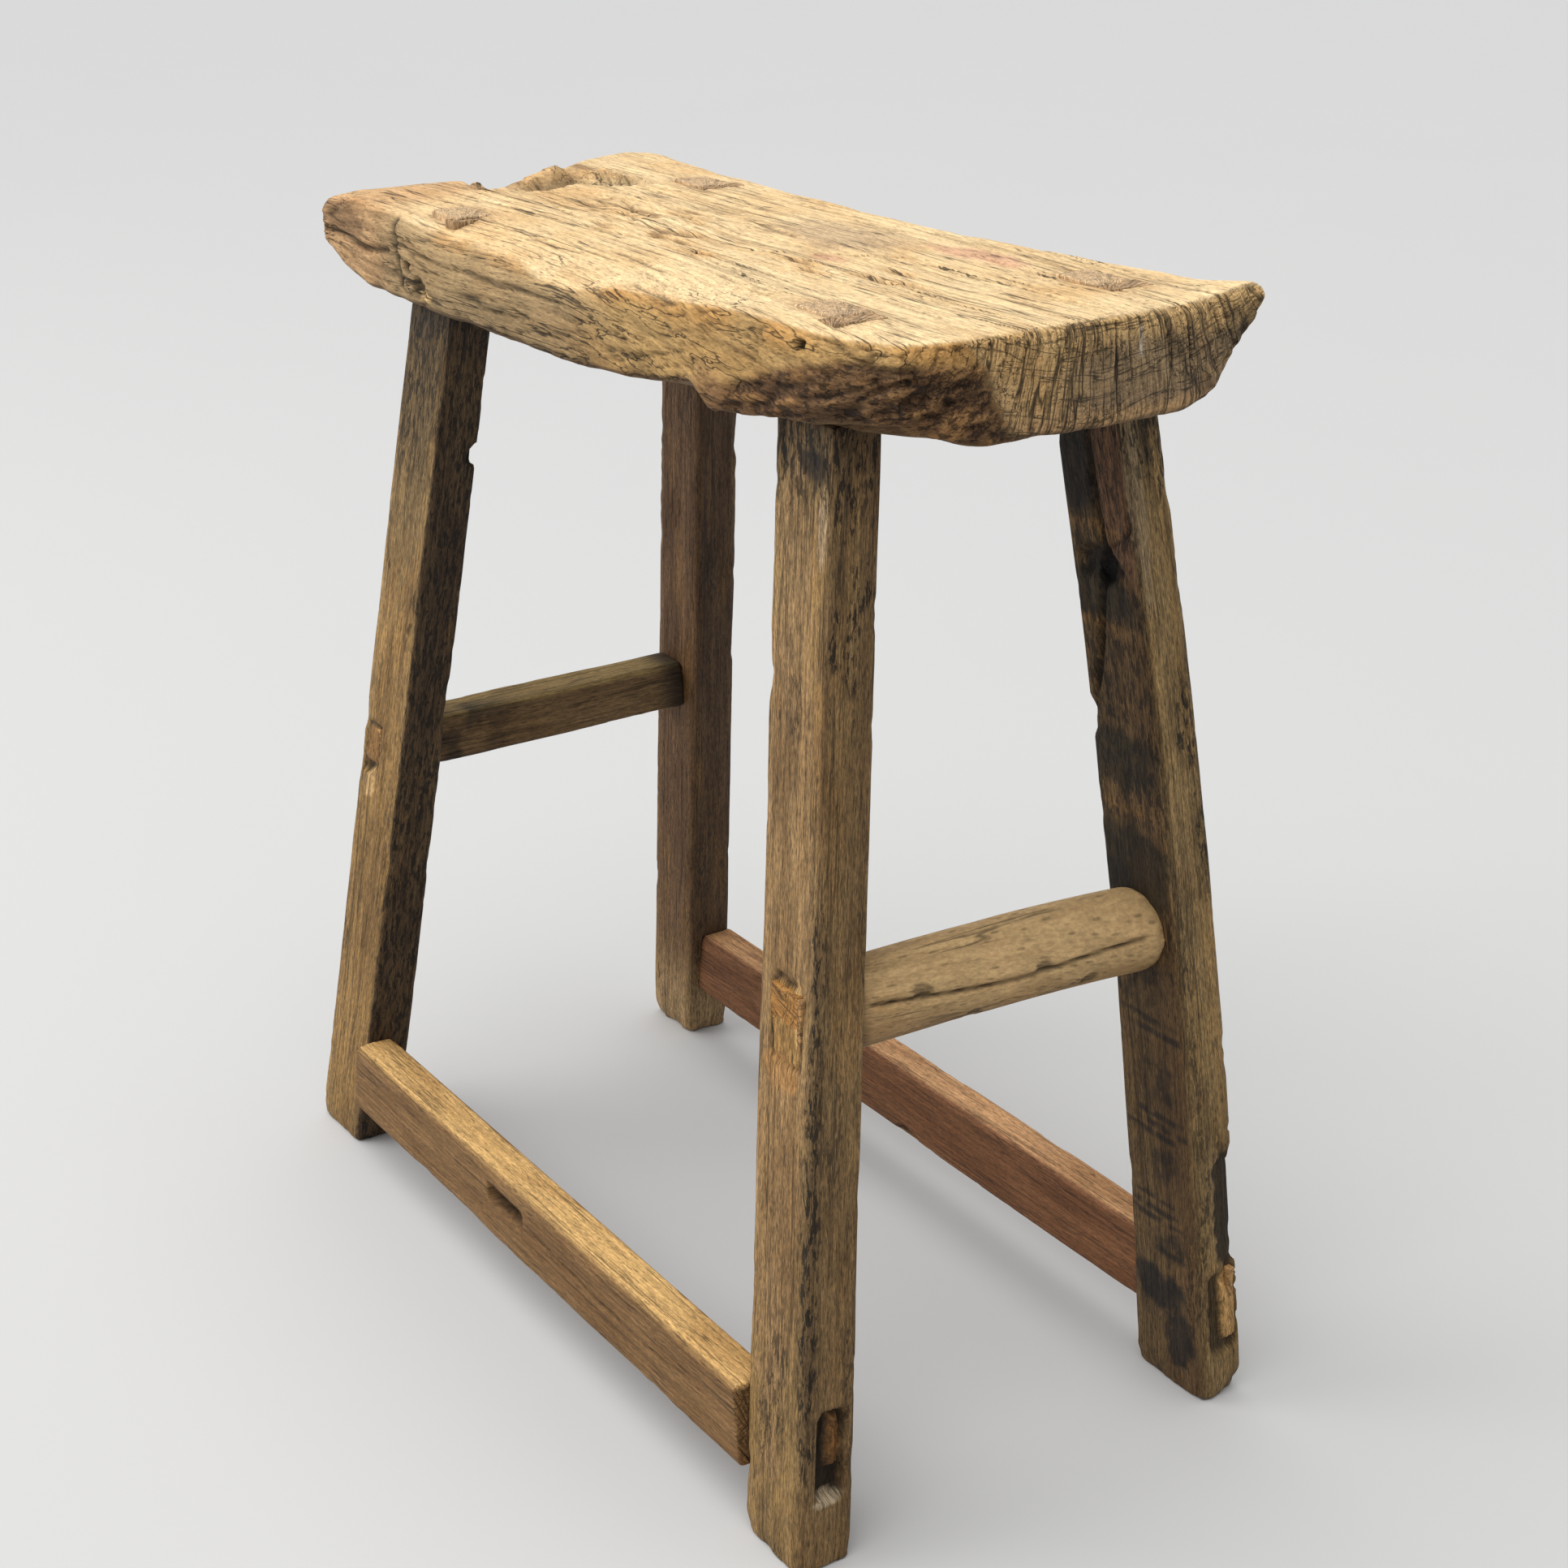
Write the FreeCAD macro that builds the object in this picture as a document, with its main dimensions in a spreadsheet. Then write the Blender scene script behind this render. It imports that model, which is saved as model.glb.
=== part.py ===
import FreeCAD, Part
import Sketcher
import os

# Rustic milking stool: a waney plank seat on four splayed, square-section legs, tied by
# four stretchers, every joint a through mortise and tenon tightened with a wedge.
# Frame: +Z up, origin on the floor under the middle of the four feet, +X along the
# seat to its square-cut end, -Y to the front.  All sizes in millimetres.

os.makedirs("parts", exist_ok=True)
doc = FreeCAD.newDocument("milking_stool")
sheet = doc.addObject("Spreadsheet::Sheet", "Sizes")
row_count = 0
LEVEL = 0.01    # an edge that rises less than this is level


def size(name, value):
    """Put one driving dimension in the sheet under a plain-word alias."""
    global row_count
    row_count += 1
    sheet.set(f"A{row_count}", str(value))
    sheet.setAlias(f"A{row_count}", name)


def cell(name):
    """Expression text for a named dimension."""
    return f"Sizes.{name}"


# ---------------------------------------------------------------- driving dimensions
size("seat_underside", 471)
size("seat_thick", 44)
size("seat_edge_bevel", 4)
size("seat_back_flat", 94)      # where the flat underside ends
size("seat_back_rise", 19)      # height of the underside's knee at the back
size("seat_back_knee", 111)
size("seat_back_lip", 125)
size("seat_lip_thick", 2)
size("seat_clear", 20)          # overcut beyond the plank
size("leg_taper", 0.09)         # share of the section lost from foot to head
size("leg_soft", 3)             # softened arrises
size("head_wide", 28)           # leg tenon in the seat, along the seat
size("head_deep", 20)
size("head_proud", 1)
size("head_wedge_top", 5)
size("head_wedge_tip", 1.5)
size("rail_wedge_out", 4)
size("rail_wedge_tip", 1)
size("rail_wedge_long", 60)     # cut off at the leg's outer face
size("hole_reach", 300)
size("bar_reach", 4)            # how far a bar runs on before its shoulder is scribed
size("old_mortise_left", -30)
size("old_mortise_long", 36)
size("old_mortise_tall", 11)
size("old_mortise_deep", 12)

# Each leg: foot centre, head centre at the seat's underside, section, outward bow.
LEG_VALUES = ("foot_x", "foot_y", "head_x", "head_y", "wide", "deep", "bow")
LEGS = {
    "front_left": (-208, -111, -131.5, -71.5, 44, 25, 0),
    "back_left": (-209, 111, -136, 73, 39, 27, 0),
    "front_right": (219.5, -113, 150, -55, 41, 27, 0),
    "back_right": (225.5, 113, 159, 80.5, 45, 25, 9.5),
}
for leg_name, values in LEGS.items():
    for value_name, value in zip(LEG_VALUES, values):
        size(f"{leg_name}_{value_name}", value)

# Each stretcher: bar centre (across, up), bar section, tenon centre across, tenon section.
RAIL_VALUES = ("across", "up", "thick", "tall", "tenon_across", "tenon_thick", "tenon_tall")
RAILS = {
    "front": (-115, 47, 22, 39, -109, 12, 34),
    "back": (110, 51, 20, 38, 111, 12, 34),
    "left": (-176.5, 236, 23, 26, -179, 14, 20),
}
for rail_name, values in RAILS.items():
    for value_name, value in zip(RAIL_VALUES, values):
        size(f"{rail_name}_{value_name}", value)
size("rung_up", 233)
size("rung_round", 38)
size("rung_front_across", 185)
size("rung_back_across", 198)
size("rung_lift", 1.5)
size("rung_tenon_thick", 20)
size("rung_tenon_tall", 30)

# The seat's outline seen from above, anticlockwise from the front left corner; the
# bite in the left end is where wood split away behind a leg.
OUTLINE = (
    (-245, -84), (-93, -92), (57, -88), (157, -79), (198, -60), (214, -28),
    (210, 40), (207, 120), (137, 114), (-3, 96), (-143, 98), (-219, 104),
    (-239, 90), (-229, 52), (-193, 6), (-169, -34), (-207, -22), (-249, -44),
)
for number, (along, across) in enumerate(OUTLINE):
    size(f"outline_{number}_along", along)
    size(f"outline_{number}_across", across)
doc.recompute()


# ---------------------------------------------------------------- drawing helpers
def add(kind, name):
    """New object whose label is its name."""
    made = doc.addObject(kind, name)
    made.Label = name
    return made


def origin_plane(body, role):
    """One of a body's own origin planes."""
    return next(f for f in body.Origin.OriginFeatures if f.Role == role)


def sketch_on(body, name, role, offset=("0", "0", "0")):
    """Empty sketch on an origin plane, shifted by bound offsets in the plane's frame."""
    sketch = body.newObject("Sketcher::SketchObject", name)
    sketch.AttachmentSupport = (origin_plane(body, role), [""])
    sketch.MapMode = "FlatFace"
    for axis, text in zip("xyz", offset):
        sketch.setExpression(f"AttachmentOffset.Base.{axis}", text)
    return sketch


def draw_outline(sketch, points):
    """Closed outline whose corners are all bound to expressions."""
    values = [FreeCAD.Vector(float(sketch.evalExpression(u)), float(sketch.evalExpression(v)), 0)
              for u, v in points]
    total = len(points)
    for i in range(total):
        sketch.addGeometry(Part.LineSegment(values[i], values[(i + 1) % total]), False)
    for i in range(total):
        sketch.addConstraint(Sketcher.Constraint("Coincident", i, 2, (i + 1) % total, 1))
    for i, (u, v) in enumerate(points):
        for kind, value, text in (("DistanceX", values[i].x, u), ("DistanceY", values[i].y, v)):
            made = sketch.addConstraint(Sketcher.Constraint(kind, -1, 1, i, 1, value))
            sketch.setExpression(f"Constraints[{made}]", text)


def draw_circle(sketch, width):
    """Circle on the sketch's origin with a bound diameter."""
    start = float(sketch.evalExpression(width))
    sketch.addGeometry(Part.Circle(FreeCAD.Vector(0, 0, 0), FreeCAD.Vector(0, 0, 1), start / 2),
                       False)
    sketch.addConstraint(Sketcher.Constraint("Coincident", 0, 3, -1, 1))
    made = sketch.addConstraint(Sketcher.Constraint("Diameter", 0, start))
    sketch.setExpression(f"Constraints[{made}]", width)


def pad(body, name, sketch, length, symmetric=False):
    """Pad of bound length."""
    made = body.newObject("PartDesign::Pad", name)
    made.Profile = sketch
    made.setExpression("Length", length)
    if symmetric:
        made.SideType = "Symmetric"
    return made


def loft(body, name, sketches):
    """Straight-sided loft through sketches."""
    made = body.newObject("PartDesign::AdditiveLoft", name)
    made.Profile = sketches[0]
    made.Sections = sketches[1:]
    made.Ruled = True
    return made


def box(name, low, sizes):
    """Part box with bound corner and sizes."""
    made = add("Part::Box", name)
    for axis, text in zip("xyz", low):
        made.setExpression(f"Placement.Base.{axis}", text)
    for side, text in zip(("Length", "Width", "Height"), sizes):
        made.setExpression(side, text)
    return made


def leaning_block(name, low_height, high_height, low_face, high_face):
    """Block between two level rectangles, each (x from, x to, y from, y to)."""
    made = add("Part::Wedge", name)
    made.Placement.Rotation = FreeCAD.Rotation(FreeCAD.Vector(1, 0, 0), 90)
    made.setExpression("Ymin", low_height)
    made.setExpression("Ymax", high_height)
    for mark, face in (("", low_face), ("2", high_face)):
        made.setExpression(f"X{mark}min", face[0])
        made.setExpression(f"X{mark}max", face[1])
        made.setExpression(f"Z{mark}min", f"-({face[3]})")
        made.setExpression(f"Z{mark}max", f"-({face[2]})")
    return made


def joined(kind, name, first, second):
    """Cut or common of two shapes."""
    made = add(kind, name)
    made.Base = first
    made.Tool = second
    return made


def fused(name, shapes):
    """Union of shapes."""
    made = add("Part::MultiFuse", name)
    made.Shapes = shapes
    made.Refine = True
    return made


# ---------------------------------------------------------------- where a leg is
def leg_middle(leg, axis, height):
    """Expression for a leg's centre at a height in the leg's lowest, straight quarter."""
    run = f"({cell(f'{leg}_head_{axis}')} - {cell(f'{leg}_foot_{axis}')})"
    bow = f" + 3 * {cell(f'{leg}_bow')} * ({height}) / {cell('seat_underside')}"
    text = f"{cell(f'{leg}_foot_{axis}')} + {run} * ({height}) / {cell('seat_underside')}"
    return text + (bow if axis == "x" else "")


def leg_half(leg, side, height):
    """Expression for half a leg's section at a height."""
    part = f"(1 + {cell('leg_taper')} * (1 / 2 - ({height}) / {cell('seat_underside')}))"
    return f"({cell(f'{leg}_{side}')} / 2 * {part})"


# ---------------------------------------------------------------- legs
def leg_blank(leg):
    """Leg as a straight-sided loft from a level foot to a level head."""
    body = add("PartDesign::Body", f"{leg}_blank")
    body.setExpression("Placement.Base.x", cell(f"{leg}_foot_x"))
    body.setExpression("Placement.Base.y", cell(f"{leg}_foot_y"))
    steps = 4 if LEGS[leg][LEG_VALUES.index("bow")] else 1
    sections = []
    for step in range(steps + 1):
        share = step / steps
        run = [f"({cell(f'{leg}_head_{axis}')} - {cell(f'{leg}_foot_{axis}')}) * {share}"
               for axis in "xy"]
        run[0] += f" + 4 * {cell(f'{leg}_bow')} * {share} * (1 - {share})"
        height = f"{cell('seat_underside')} * {share}"
        sketch = sketch_on(body, f"{leg}_section_{step}", "XY_Plane", (*run, height))
        wide = leg_half(leg, "wide", height)
        deep = leg_half(leg, "deep", height)
        soft = cell("leg_soft")
        draw_outline(sketch, [
            (f"-({wide} - {soft})", f"-{deep}"), (f"{wide} - {soft}", f"-{deep}"),
            (wide, f"-({deep} - {soft})"), (wide, f"{deep} - {soft}"),
            (f"{wide} - {soft}", deep), (f"-({wide} - {soft})", deep),
            (f"-{wide}", f"{deep} - {soft}"), (f"-{wide}", f"-({deep} - {soft})"),
        ])
        sections.append(sketch)
    loft(body, f"{leg}_shaft", sections)
    return body


def head_face(leg, height, left, right):
    """Level rectangle across a leg's tenon, from left to right of its centre line."""
    middle_x = leg_head_line(leg, "x", height)
    middle_y = leg_head_line(leg, "y", height)
    return (f"{middle_x} + {left}", f"{middle_x} + {right}",
            f"{middle_y} - {cell('head_deep')} / 2", f"{middle_y} + {cell('head_deep')} / 2")


def leg_head_line(leg, axis, height):
    """Expression for the tenon's centre: the leg's own lean carried on upwards."""
    run = f"({cell(f'{leg}_head_{axis}')} - {cell(f'{leg}_foot_{axis}')})"
    return (f"{cell(f'{leg}_head_{axis}')} + {run} * "
            f"(({height}) - {cell('seat_underside')}) / {cell('seat_underside')}")


def head_joint(leg):
    """Block that fills the seat's mortise, split into the leg's tenon and its wedge."""
    low = cell("seat_underside")
    high = f"{cell('seat_underside')} + {cell('seat_thick')} + {cell('head_proud')}"
    half = f"{cell('head_wide')} / 2"
    whole = leaning_block(f"{leg}_head_block", low, high,
                          head_face(leg, low, f"-{half}", half),
                          head_face(leg, high, f"-{half}", half))
    wedge = leaning_block(
        f"{leg}_head_wedge", low, high,
        head_face(leg, low, f"({half} - {cell('head_wedge_tip')})", half),
        head_face(leg, high, f"({half} - {cell('head_wedge_top')})", half))
    tenon = joined("Part::Cut", f"{leg}_head_tenon", whole, wedge)
    return whole, tenon, wedge


# ---------------------------------------------------------------- seat
def seat_plank():
    """Plank cut to its waney outline, bevelled, its underside swept up at the back."""
    body = add("PartDesign::Body", "seat_blank")
    body.setExpression("Placement.Base.z", cell("seat_underside"))
    outline = sketch_on(body, "seat_outline", "XY_Plane")
    draw_outline(outline, [(cell(f"outline_{n}_along"), cell(f"outline_{n}_across"))
                           for n in range(len(OUTLINE))])
    plank = pad(body, "seat_pad", outline, cell("seat_thick"))
    doc.recompute()
    rims = [f"Edge{n}" for n, edge in enumerate(plank.Shape.Edges, 1)
            if edge.BoundBox.ZLength < LEVEL]
    bevel = body.newObject("PartDesign::Chamfer", "seat_bevel")
    bevel.Base = (plank, rims)
    bevel.setExpression("Size", cell("seat_edge_bevel"))
    sweep = sketch_on(body, "seat_sweep", "YZ_Plane")
    clear = f"({cell('seat_back_lip')} + {cell('seat_clear')})"
    lip = f"{cell('seat_thick')} - {cell('seat_lip_thick')}"
    draw_outline(sweep, [
        (cell("seat_back_flat"), f"-{cell('seat_clear')}"), (clear, f"-{cell('seat_clear')}"),
        (clear, lip), (cell("seat_back_lip"), lip),
        (cell("seat_back_knee"), cell("seat_back_rise")), (cell("seat_back_flat"), "0"),
    ])
    pocket = body.newObject("PartDesign::Pocket", "seat_undercut")
    pocket.Profile = sweep
    pocket.Type = "ThroughAll"
    pocket.SideType = "Symmetric"
    return body


# ---------------------------------------------------------------- stretchers
# Turns that lay a wedge along a tenon: its thin end at the shoulder, its thick end out.
UP = FreeCAD.Vector(0, 0, 1)
TURNS = {
    "right": FreeCAD.Rotation(UP, -90),
    "right_under": FreeCAD.Rotation(FreeCAD.Vector(1, 1, 0), 180),
    "left": FreeCAD.Rotation(UP, 90),
    "front": FreeCAD.Rotation(UP, 180),
    "back": FreeCAD.Rotation(UP, 0),
}


def wedged_tenon(name, blank, hole, turn, corner, tall):
    """The stretcher's tenon inside one leg, and the wedge beside it.

    The plug is what the mortise takes out of the leg, so both ends are flush with the
    leg's leaning faces; a tapered slip split off one side of it is the wedge.
    """
    plug = joined("Part::Common", f"{name}_plug", blank, hole)
    slip = add("Part::Wedge", f"{name}_slip")
    slip.Placement.Rotation = TURNS[turn]
    for axis, text in zip("xyz", corner):
        slip.setExpression(f"Placement.Base.{axis}", text)
    bounds = {
        "Xmin": "0", "X2min": "0", "Ymin": "0", "Zmin": "0", "Z2min": "0",
        "Xmax": cell("rail_wedge_tip"), "X2max": cell("rail_wedge_out"),
        "Ymax": cell("rail_wedge_long"), "Zmax": tall, "Z2max": tall,
    }
    for bound, text in bounds.items():
        slip.setExpression(bound, text)
    tenon = joined("Part::Cut", f"{name}_tenon", plug, slip)
    wedge = joined("Part::Common", f"{name}_wedge", plug, slip)
    return tenon, wedge


def inner_face(leg, side, sign, height):
    """Expression for a leg's face on one side at a height."""
    along = "x" if side == "wide" else "y"
    return f"{leg_middle(leg, along, height)} {sign} {leg_half(leg, side, height)}"


def long_rail(rail, left_leg, right_leg, blanks):
    """Stretcher along the seat: bar, through mortise and the two wedged tenons."""
    up = cell(f"{rail}_up")
    start = f"{inner_face(left_leg, 'wide', '+', up)}"
    stop = f"{inner_face(right_leg, 'wide', '-', up)}"
    reach = cell("bar_reach")
    bar = box(f"{rail}_bar",
              (f"{start} - {reach}", f"{cell(f'{rail}_across')} - {cell(f'{rail}_thick')} / 2",
               f"{up} - {cell(f'{rail}_tall')} / 2"),
              (f"({stop}) - ({start}) + 2 * {reach}", cell(f"{rail}_thick"),
               cell(f"{rail}_tall")))
    tall = cell(f"{rail}_tenon_tall")
    low = f"{up} - {tall} / 2"
    near = f"{cell(f'{rail}_tenon_across')} - {cell(f'{rail}_tenon_thick')} / 2"
    far = f"{cell(f'{rail}_tenon_across')} + {cell(f'{rail}_tenon_thick')} / 2"
    hole = box(f"{rail}_hole", (f"-{cell('hole_reach')}", near, low),
               (f"2 * {cell('hole_reach')}", cell(f"{rail}_tenon_thick"), tall))
    left = wedged_tenon(f"{rail}_left", blanks[left_leg], hole, "left",
                        (start, near, low), tall)
    if rail == "front":         # this wedge sat on the tenon's near side, and is lost
        turn, corner = "right_under", (stop, near, f"{low} + {tall}")
    else:
        turn, corner = "right", (stop, far, low)
    right = wedged_tenon(f"{rail}_right", blanks[right_leg], hole, turn, corner, tall)
    return bar, hole, hole, left, right


def side_wedges(rail, holes, legs, blanks):
    """Tenons and wedges of a stretcher that runs from a front leg to a back leg."""
    front_leg, back_leg = legs
    front_hole, back_hole = holes
    up = cell("rung_up") if rail == "right" else cell("left_up")
    tall = cell("rung_tenon_tall") if rail == "right" else cell("left_tenon_tall")
    low = f"{up} - {tall} / 2"
    front = wedged_tenon(
        f"{rail}_front", blanks[front_leg], front_hole, "front",
        (f"{front_hole.Name}.Placement.Base.x + {front_hole.Name}.Length",
         inner_face(front_leg, "deep", "+", up), low), tall)
    back = wedged_tenon(
        f"{rail}_back", blanks[back_leg], back_hole, "back",
        (f"{back_hole.Name}.Placement.Base.x", inner_face(back_leg, "deep", "-", up), low), tall)
    return front, back


def left_rail(blanks):
    """Square stretcher between the two left legs."""
    up = cell("left_up")
    start = inner_face("front_left", "deep", "+", up)
    stop = inner_face("back_left", "deep", "-", up)
    reach = cell("bar_reach")
    bar = box("left_bar",
              (f"{cell('left_across')} - {cell('left_thick')} / 2", f"{start} - {reach}",
               f"{up} - {cell('left_tall')} / 2"),
              (cell("left_thick"), f"({stop}) - ({start}) + 2 * {reach}", cell("left_tall")))
    hole = box("left_hole",
               (f"{cell('left_tenon_across')} - {cell('left_tenon_thick')} / 2",
                f"-{cell('hole_reach')}", f"{up} - {cell('left_tenon_tall')} / 2"),
               (cell("left_tenon_thick"), f"2 * {cell('hole_reach')}", cell("left_tenon_tall")))
    front, back = side_wedges("left", (hole, hole), ("front_left", "back_left"), blanks)
    return bar, hole, hole, front, back


def right_rung(blanks):
    """Round rung between the two right legs, a little high in the middle."""
    up = cell("rung_up")
    start = f"{inner_face('front_right', 'deep', '+', up)} - {cell('bar_reach')}"
    stop = f"{inner_face('back_right', 'deep', '-', up)} + {cell('bar_reach')}"
    front_x, back_x = cell("rung_front_across"), cell("rung_back_across")
    body = add("PartDesign::Body", "right_bar")
    body.setExpression("Placement.Base.z", up)
    stations = (
        (front_x, "0", start),
        (f"({front_x} + {back_x}) / 2", cell("rung_lift"), f"(({start}) + ({stop})) / 2"),
        (back_x, "0", stop),
    )
    rings = []
    for number, (across, lift, along) in enumerate(stations):
        ring = sketch_on(body, f"rung_ring_{number}", "XZ_Plane", (across, lift, f"-({along})"))
        draw_circle(ring, cell("rung_round"))
        rings.append(ring)
    loft(body, "rung_shaft", rings).Ruled = False
    holes = [
        box(f"rung_{end}_hole",
            (f"{across} - {cell('rung_tenon_thick')} / 2", along,
             f"{up} - {cell('rung_tenon_tall')} / 2"),
            (cell("rung_tenon_thick"), cell("hole_reach"), cell("rung_tenon_tall")))
        for end, across, along in (("front", front_x, f"-{cell('hole_reach')}"),
                                   ("back", back_x, "0"))
    ]
    front, back = side_wedges("right", holes, ("front_right", "back_right"), blanks)
    return body, *holes, front, back


def scribed(rail, bar, tenons, legs, blanks):
    """Bar cut to fit the legs' faces, with its two tenons."""
    once = joined("Part::Cut", f"{rail}_scribed_once", bar, blanks[legs[0]])
    twice = joined("Part::Cut", f"{rail}_scribed", once, blanks[legs[1]])
    return fused(f"{rail}_stretcher", [twice, *tenons])


# ---------------------------------------------------------------- assembly
def leg_part(leg, blank, holes, tenon):
    """Finished leg: two mortises cut, head tenon on."""
    once = joined("Part::Cut", f"{leg}_cut_once", blank, holes[0])
    twice = joined("Part::Cut", f"{leg}_cut", once, holes[1])
    return fused(f"leg_{leg}", [twice, tenon])


blanks = {leg: leg_blank(leg) for leg in LEGS}
heads = {leg: head_joint(leg) for leg in LEGS}
front = long_rail("front", "front_left", "front_right", blanks)
back = long_rail("back", "back_left", "back_right", blanks)
left = left_rail(blanks)
right = right_rung(blanks)
nodes = {}

seat = joined("Part::Cut", "seat_plank", seat_plank(),
              fused("seat_mortises", [heads[leg][0] for leg in LEGS]))
nodes["seat_plank"] = seat
leg_holes = {
    "front_left": (front[1], left[1]),
    "back_left": (back[1], left[2]),
    "front_right": (front[2], right[1]),
    "back_right": (back[2], right[2]),
}
for leg in LEGS:
    nodes[f"leg_{leg}"] = leg_part(leg, blanks[leg], leg_holes[leg], heads[leg][1])
    nodes[f"head_wedge_{leg}"] = heads[leg][2]

bar_front = front[0]
slot = box("front_old_mortise",
           (cell("old_mortise_left"),
            f"{cell('front_across')} - {cell('front_thick')} / 2 - 1",
            f"{cell('front_up')} - {cell('old_mortise_tall')} / 2"),
           (cell("old_mortise_long"), f"{cell('old_mortise_deep')} + 1", cell("old_mortise_tall")))
bar_front = joined("Part::Cut", "front_bar_slotted", bar_front, slot)
for rail, bar, parts, legs in (
    ("front", bar_front, front, ("front_left", "front_right")),
    ("back", back[0], back, ("back_left", "back_right")),
    ("left", left[0], left, ("front_left", "back_left")),
    ("right", right[0], right, ("front_right", "back_right")),
):
    nodes[f"stretcher_{rail}"] = scribed(rail, bar, [parts[3][0], parts[4][0]], legs, blanks)
    ends = ("left", "right") if rail in ("front", "back") else ("front", "back")
    for end, (_, wedge) in zip(ends, parts[3:]):
        if (rail, end) != ("front", "right"):
            nodes[f"wedge_{rail}_{end}"] = wedge

doc.recompute()
for item in doc.Objects:
    faults = {"Invalid", "Error"} & set(item.State)
    if faults:
        raise RuntimeError(f"{item.Label}: {sorted(faults)}")
for name, item in nodes.items():
    item.Label = name
    if item.Shape.isNull() or not item.Shape.isValid() or item.Shape.Volume <= 0:
        raise RuntimeError(f"{name}: bad shape")
for name, item in nodes.items():
    item.Shape.exportStep(f"parts/{name}.step")
    print(f"{name}: {len(item.Shape.Solids)} solid, {item.Shape.Volume / 1000:.1f} cm3")
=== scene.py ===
"""A weathered wooden milking stool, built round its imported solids.

Every piece is worked as a skin of points: a blank is laid out from the size of
its solid, its surface is worn, split and stained, and the result becomes a
mesh that carries its wood coordinates and its painted tone to the finishes.
Lengths inside the classes are millimetres; meshes are written in metres.
"""

from __future__ import annotations

import logging
import math
from dataclasses import dataclass, field
from enum import Enum

import bpy
import numpy as np
from mathutils import Matrix, Vector

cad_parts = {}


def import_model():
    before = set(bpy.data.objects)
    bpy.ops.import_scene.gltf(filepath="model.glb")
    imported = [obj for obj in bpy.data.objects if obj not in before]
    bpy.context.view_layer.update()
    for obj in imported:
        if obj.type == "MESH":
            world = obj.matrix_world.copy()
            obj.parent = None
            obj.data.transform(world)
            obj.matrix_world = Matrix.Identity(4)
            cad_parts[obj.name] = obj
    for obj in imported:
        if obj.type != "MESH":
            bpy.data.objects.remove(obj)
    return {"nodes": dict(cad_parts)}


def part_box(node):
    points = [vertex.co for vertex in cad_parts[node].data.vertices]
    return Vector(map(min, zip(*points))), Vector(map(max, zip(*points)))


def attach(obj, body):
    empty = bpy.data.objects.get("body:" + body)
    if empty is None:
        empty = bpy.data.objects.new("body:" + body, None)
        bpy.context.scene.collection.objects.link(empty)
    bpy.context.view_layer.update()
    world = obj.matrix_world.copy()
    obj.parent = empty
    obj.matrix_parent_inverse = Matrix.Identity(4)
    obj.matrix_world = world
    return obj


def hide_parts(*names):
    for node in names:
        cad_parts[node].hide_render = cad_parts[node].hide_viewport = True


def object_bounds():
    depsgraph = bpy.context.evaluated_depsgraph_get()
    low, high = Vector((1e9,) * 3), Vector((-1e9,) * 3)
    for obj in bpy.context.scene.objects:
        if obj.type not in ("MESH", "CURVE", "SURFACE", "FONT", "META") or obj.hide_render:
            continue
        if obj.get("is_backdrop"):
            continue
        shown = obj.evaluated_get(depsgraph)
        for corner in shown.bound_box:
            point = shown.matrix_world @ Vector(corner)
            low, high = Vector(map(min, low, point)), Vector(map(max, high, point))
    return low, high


MM = 0.001
FLOOR_HALF = 14.0  # half the floor's side, in metres
SUNK = 1.6  # how far a rail wedge's struck end lies in from its solid's
HEAD_PROUD = 0.5  # how far a head wedge stands up from the board
TENON_PROUD = 1.2  # how far a leg's tenon does
BODY = "root"
LOG = logging.getLogger("milking_stool")
Array = np.ndarray
Socket = bpy.types.NodeSocket
Pair = tuple[float, float]
Triple = tuple[float, float, float]


# ---------------------------------------------------------------- numbers


def smooth(low: float, high: float, value: Array) -> Array:
    """Rise smoothly from 0, where value is low, to 1, where it is high; high may be below low."""
    share = np.clip((value - low) / (high - low), 0.0, 1.0)
    return share * share * (3.0 - 2.0 * share)


def paint(red: float, green: float, blue: float) -> Array:
    """Turn a colour on the usual 0 to 255 scale into linear light."""
    share = np.array([red, green, blue]) / 255.0
    return np.where(share <= 0.04045, share / 12.92, ((share + 0.055) / 1.055) ** 2.4)


def lattice(cell: Array, seed: int) -> Array:
    """Give every whole-numbered cell its own steady random number.

    Args:
        cell: Whole numbers, one row of three for each cell.
        seed: Chooses the pattern.

    Returns:
        A number from 0 to 1 for each row.
    """
    mixed = cell[:, 0] * 374761393 + cell[:, 1] * 668265263
    mixed = mixed + cell[:, 2] * 1442695041 + seed * 974634777
    mixed = (mixed ^ (mixed >> 13)) & 0xFFFFFFFF
    mixed = (mixed * 1274126177) & 0xFFFFFFFF
    return ((mixed ^ (mixed >> 16)) & 0xFFFF) / 65535.0


def value_noise(place: Array, seed: int) -> Array:
    """Smooth noise with one bump for each unit of length.

    Args:
        place: Positions, one row of three each.
        seed: Chooses the pattern.

    Returns:
        A number from 0 to 1 for each row.
    """
    cell = np.floor(place).astype(np.int64)
    inside = place - cell
    inside = inside * inside * (3.0 - 2.0 * inside)
    total = np.zeros(len(place))
    for corner in np.ndindex(2, 2, 2):
        step = np.array(corner)
        weight = np.prod(np.where(step, inside, 1.0 - inside), axis=1)
        total += weight * lattice(cell + step, seed)
    return total


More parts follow.
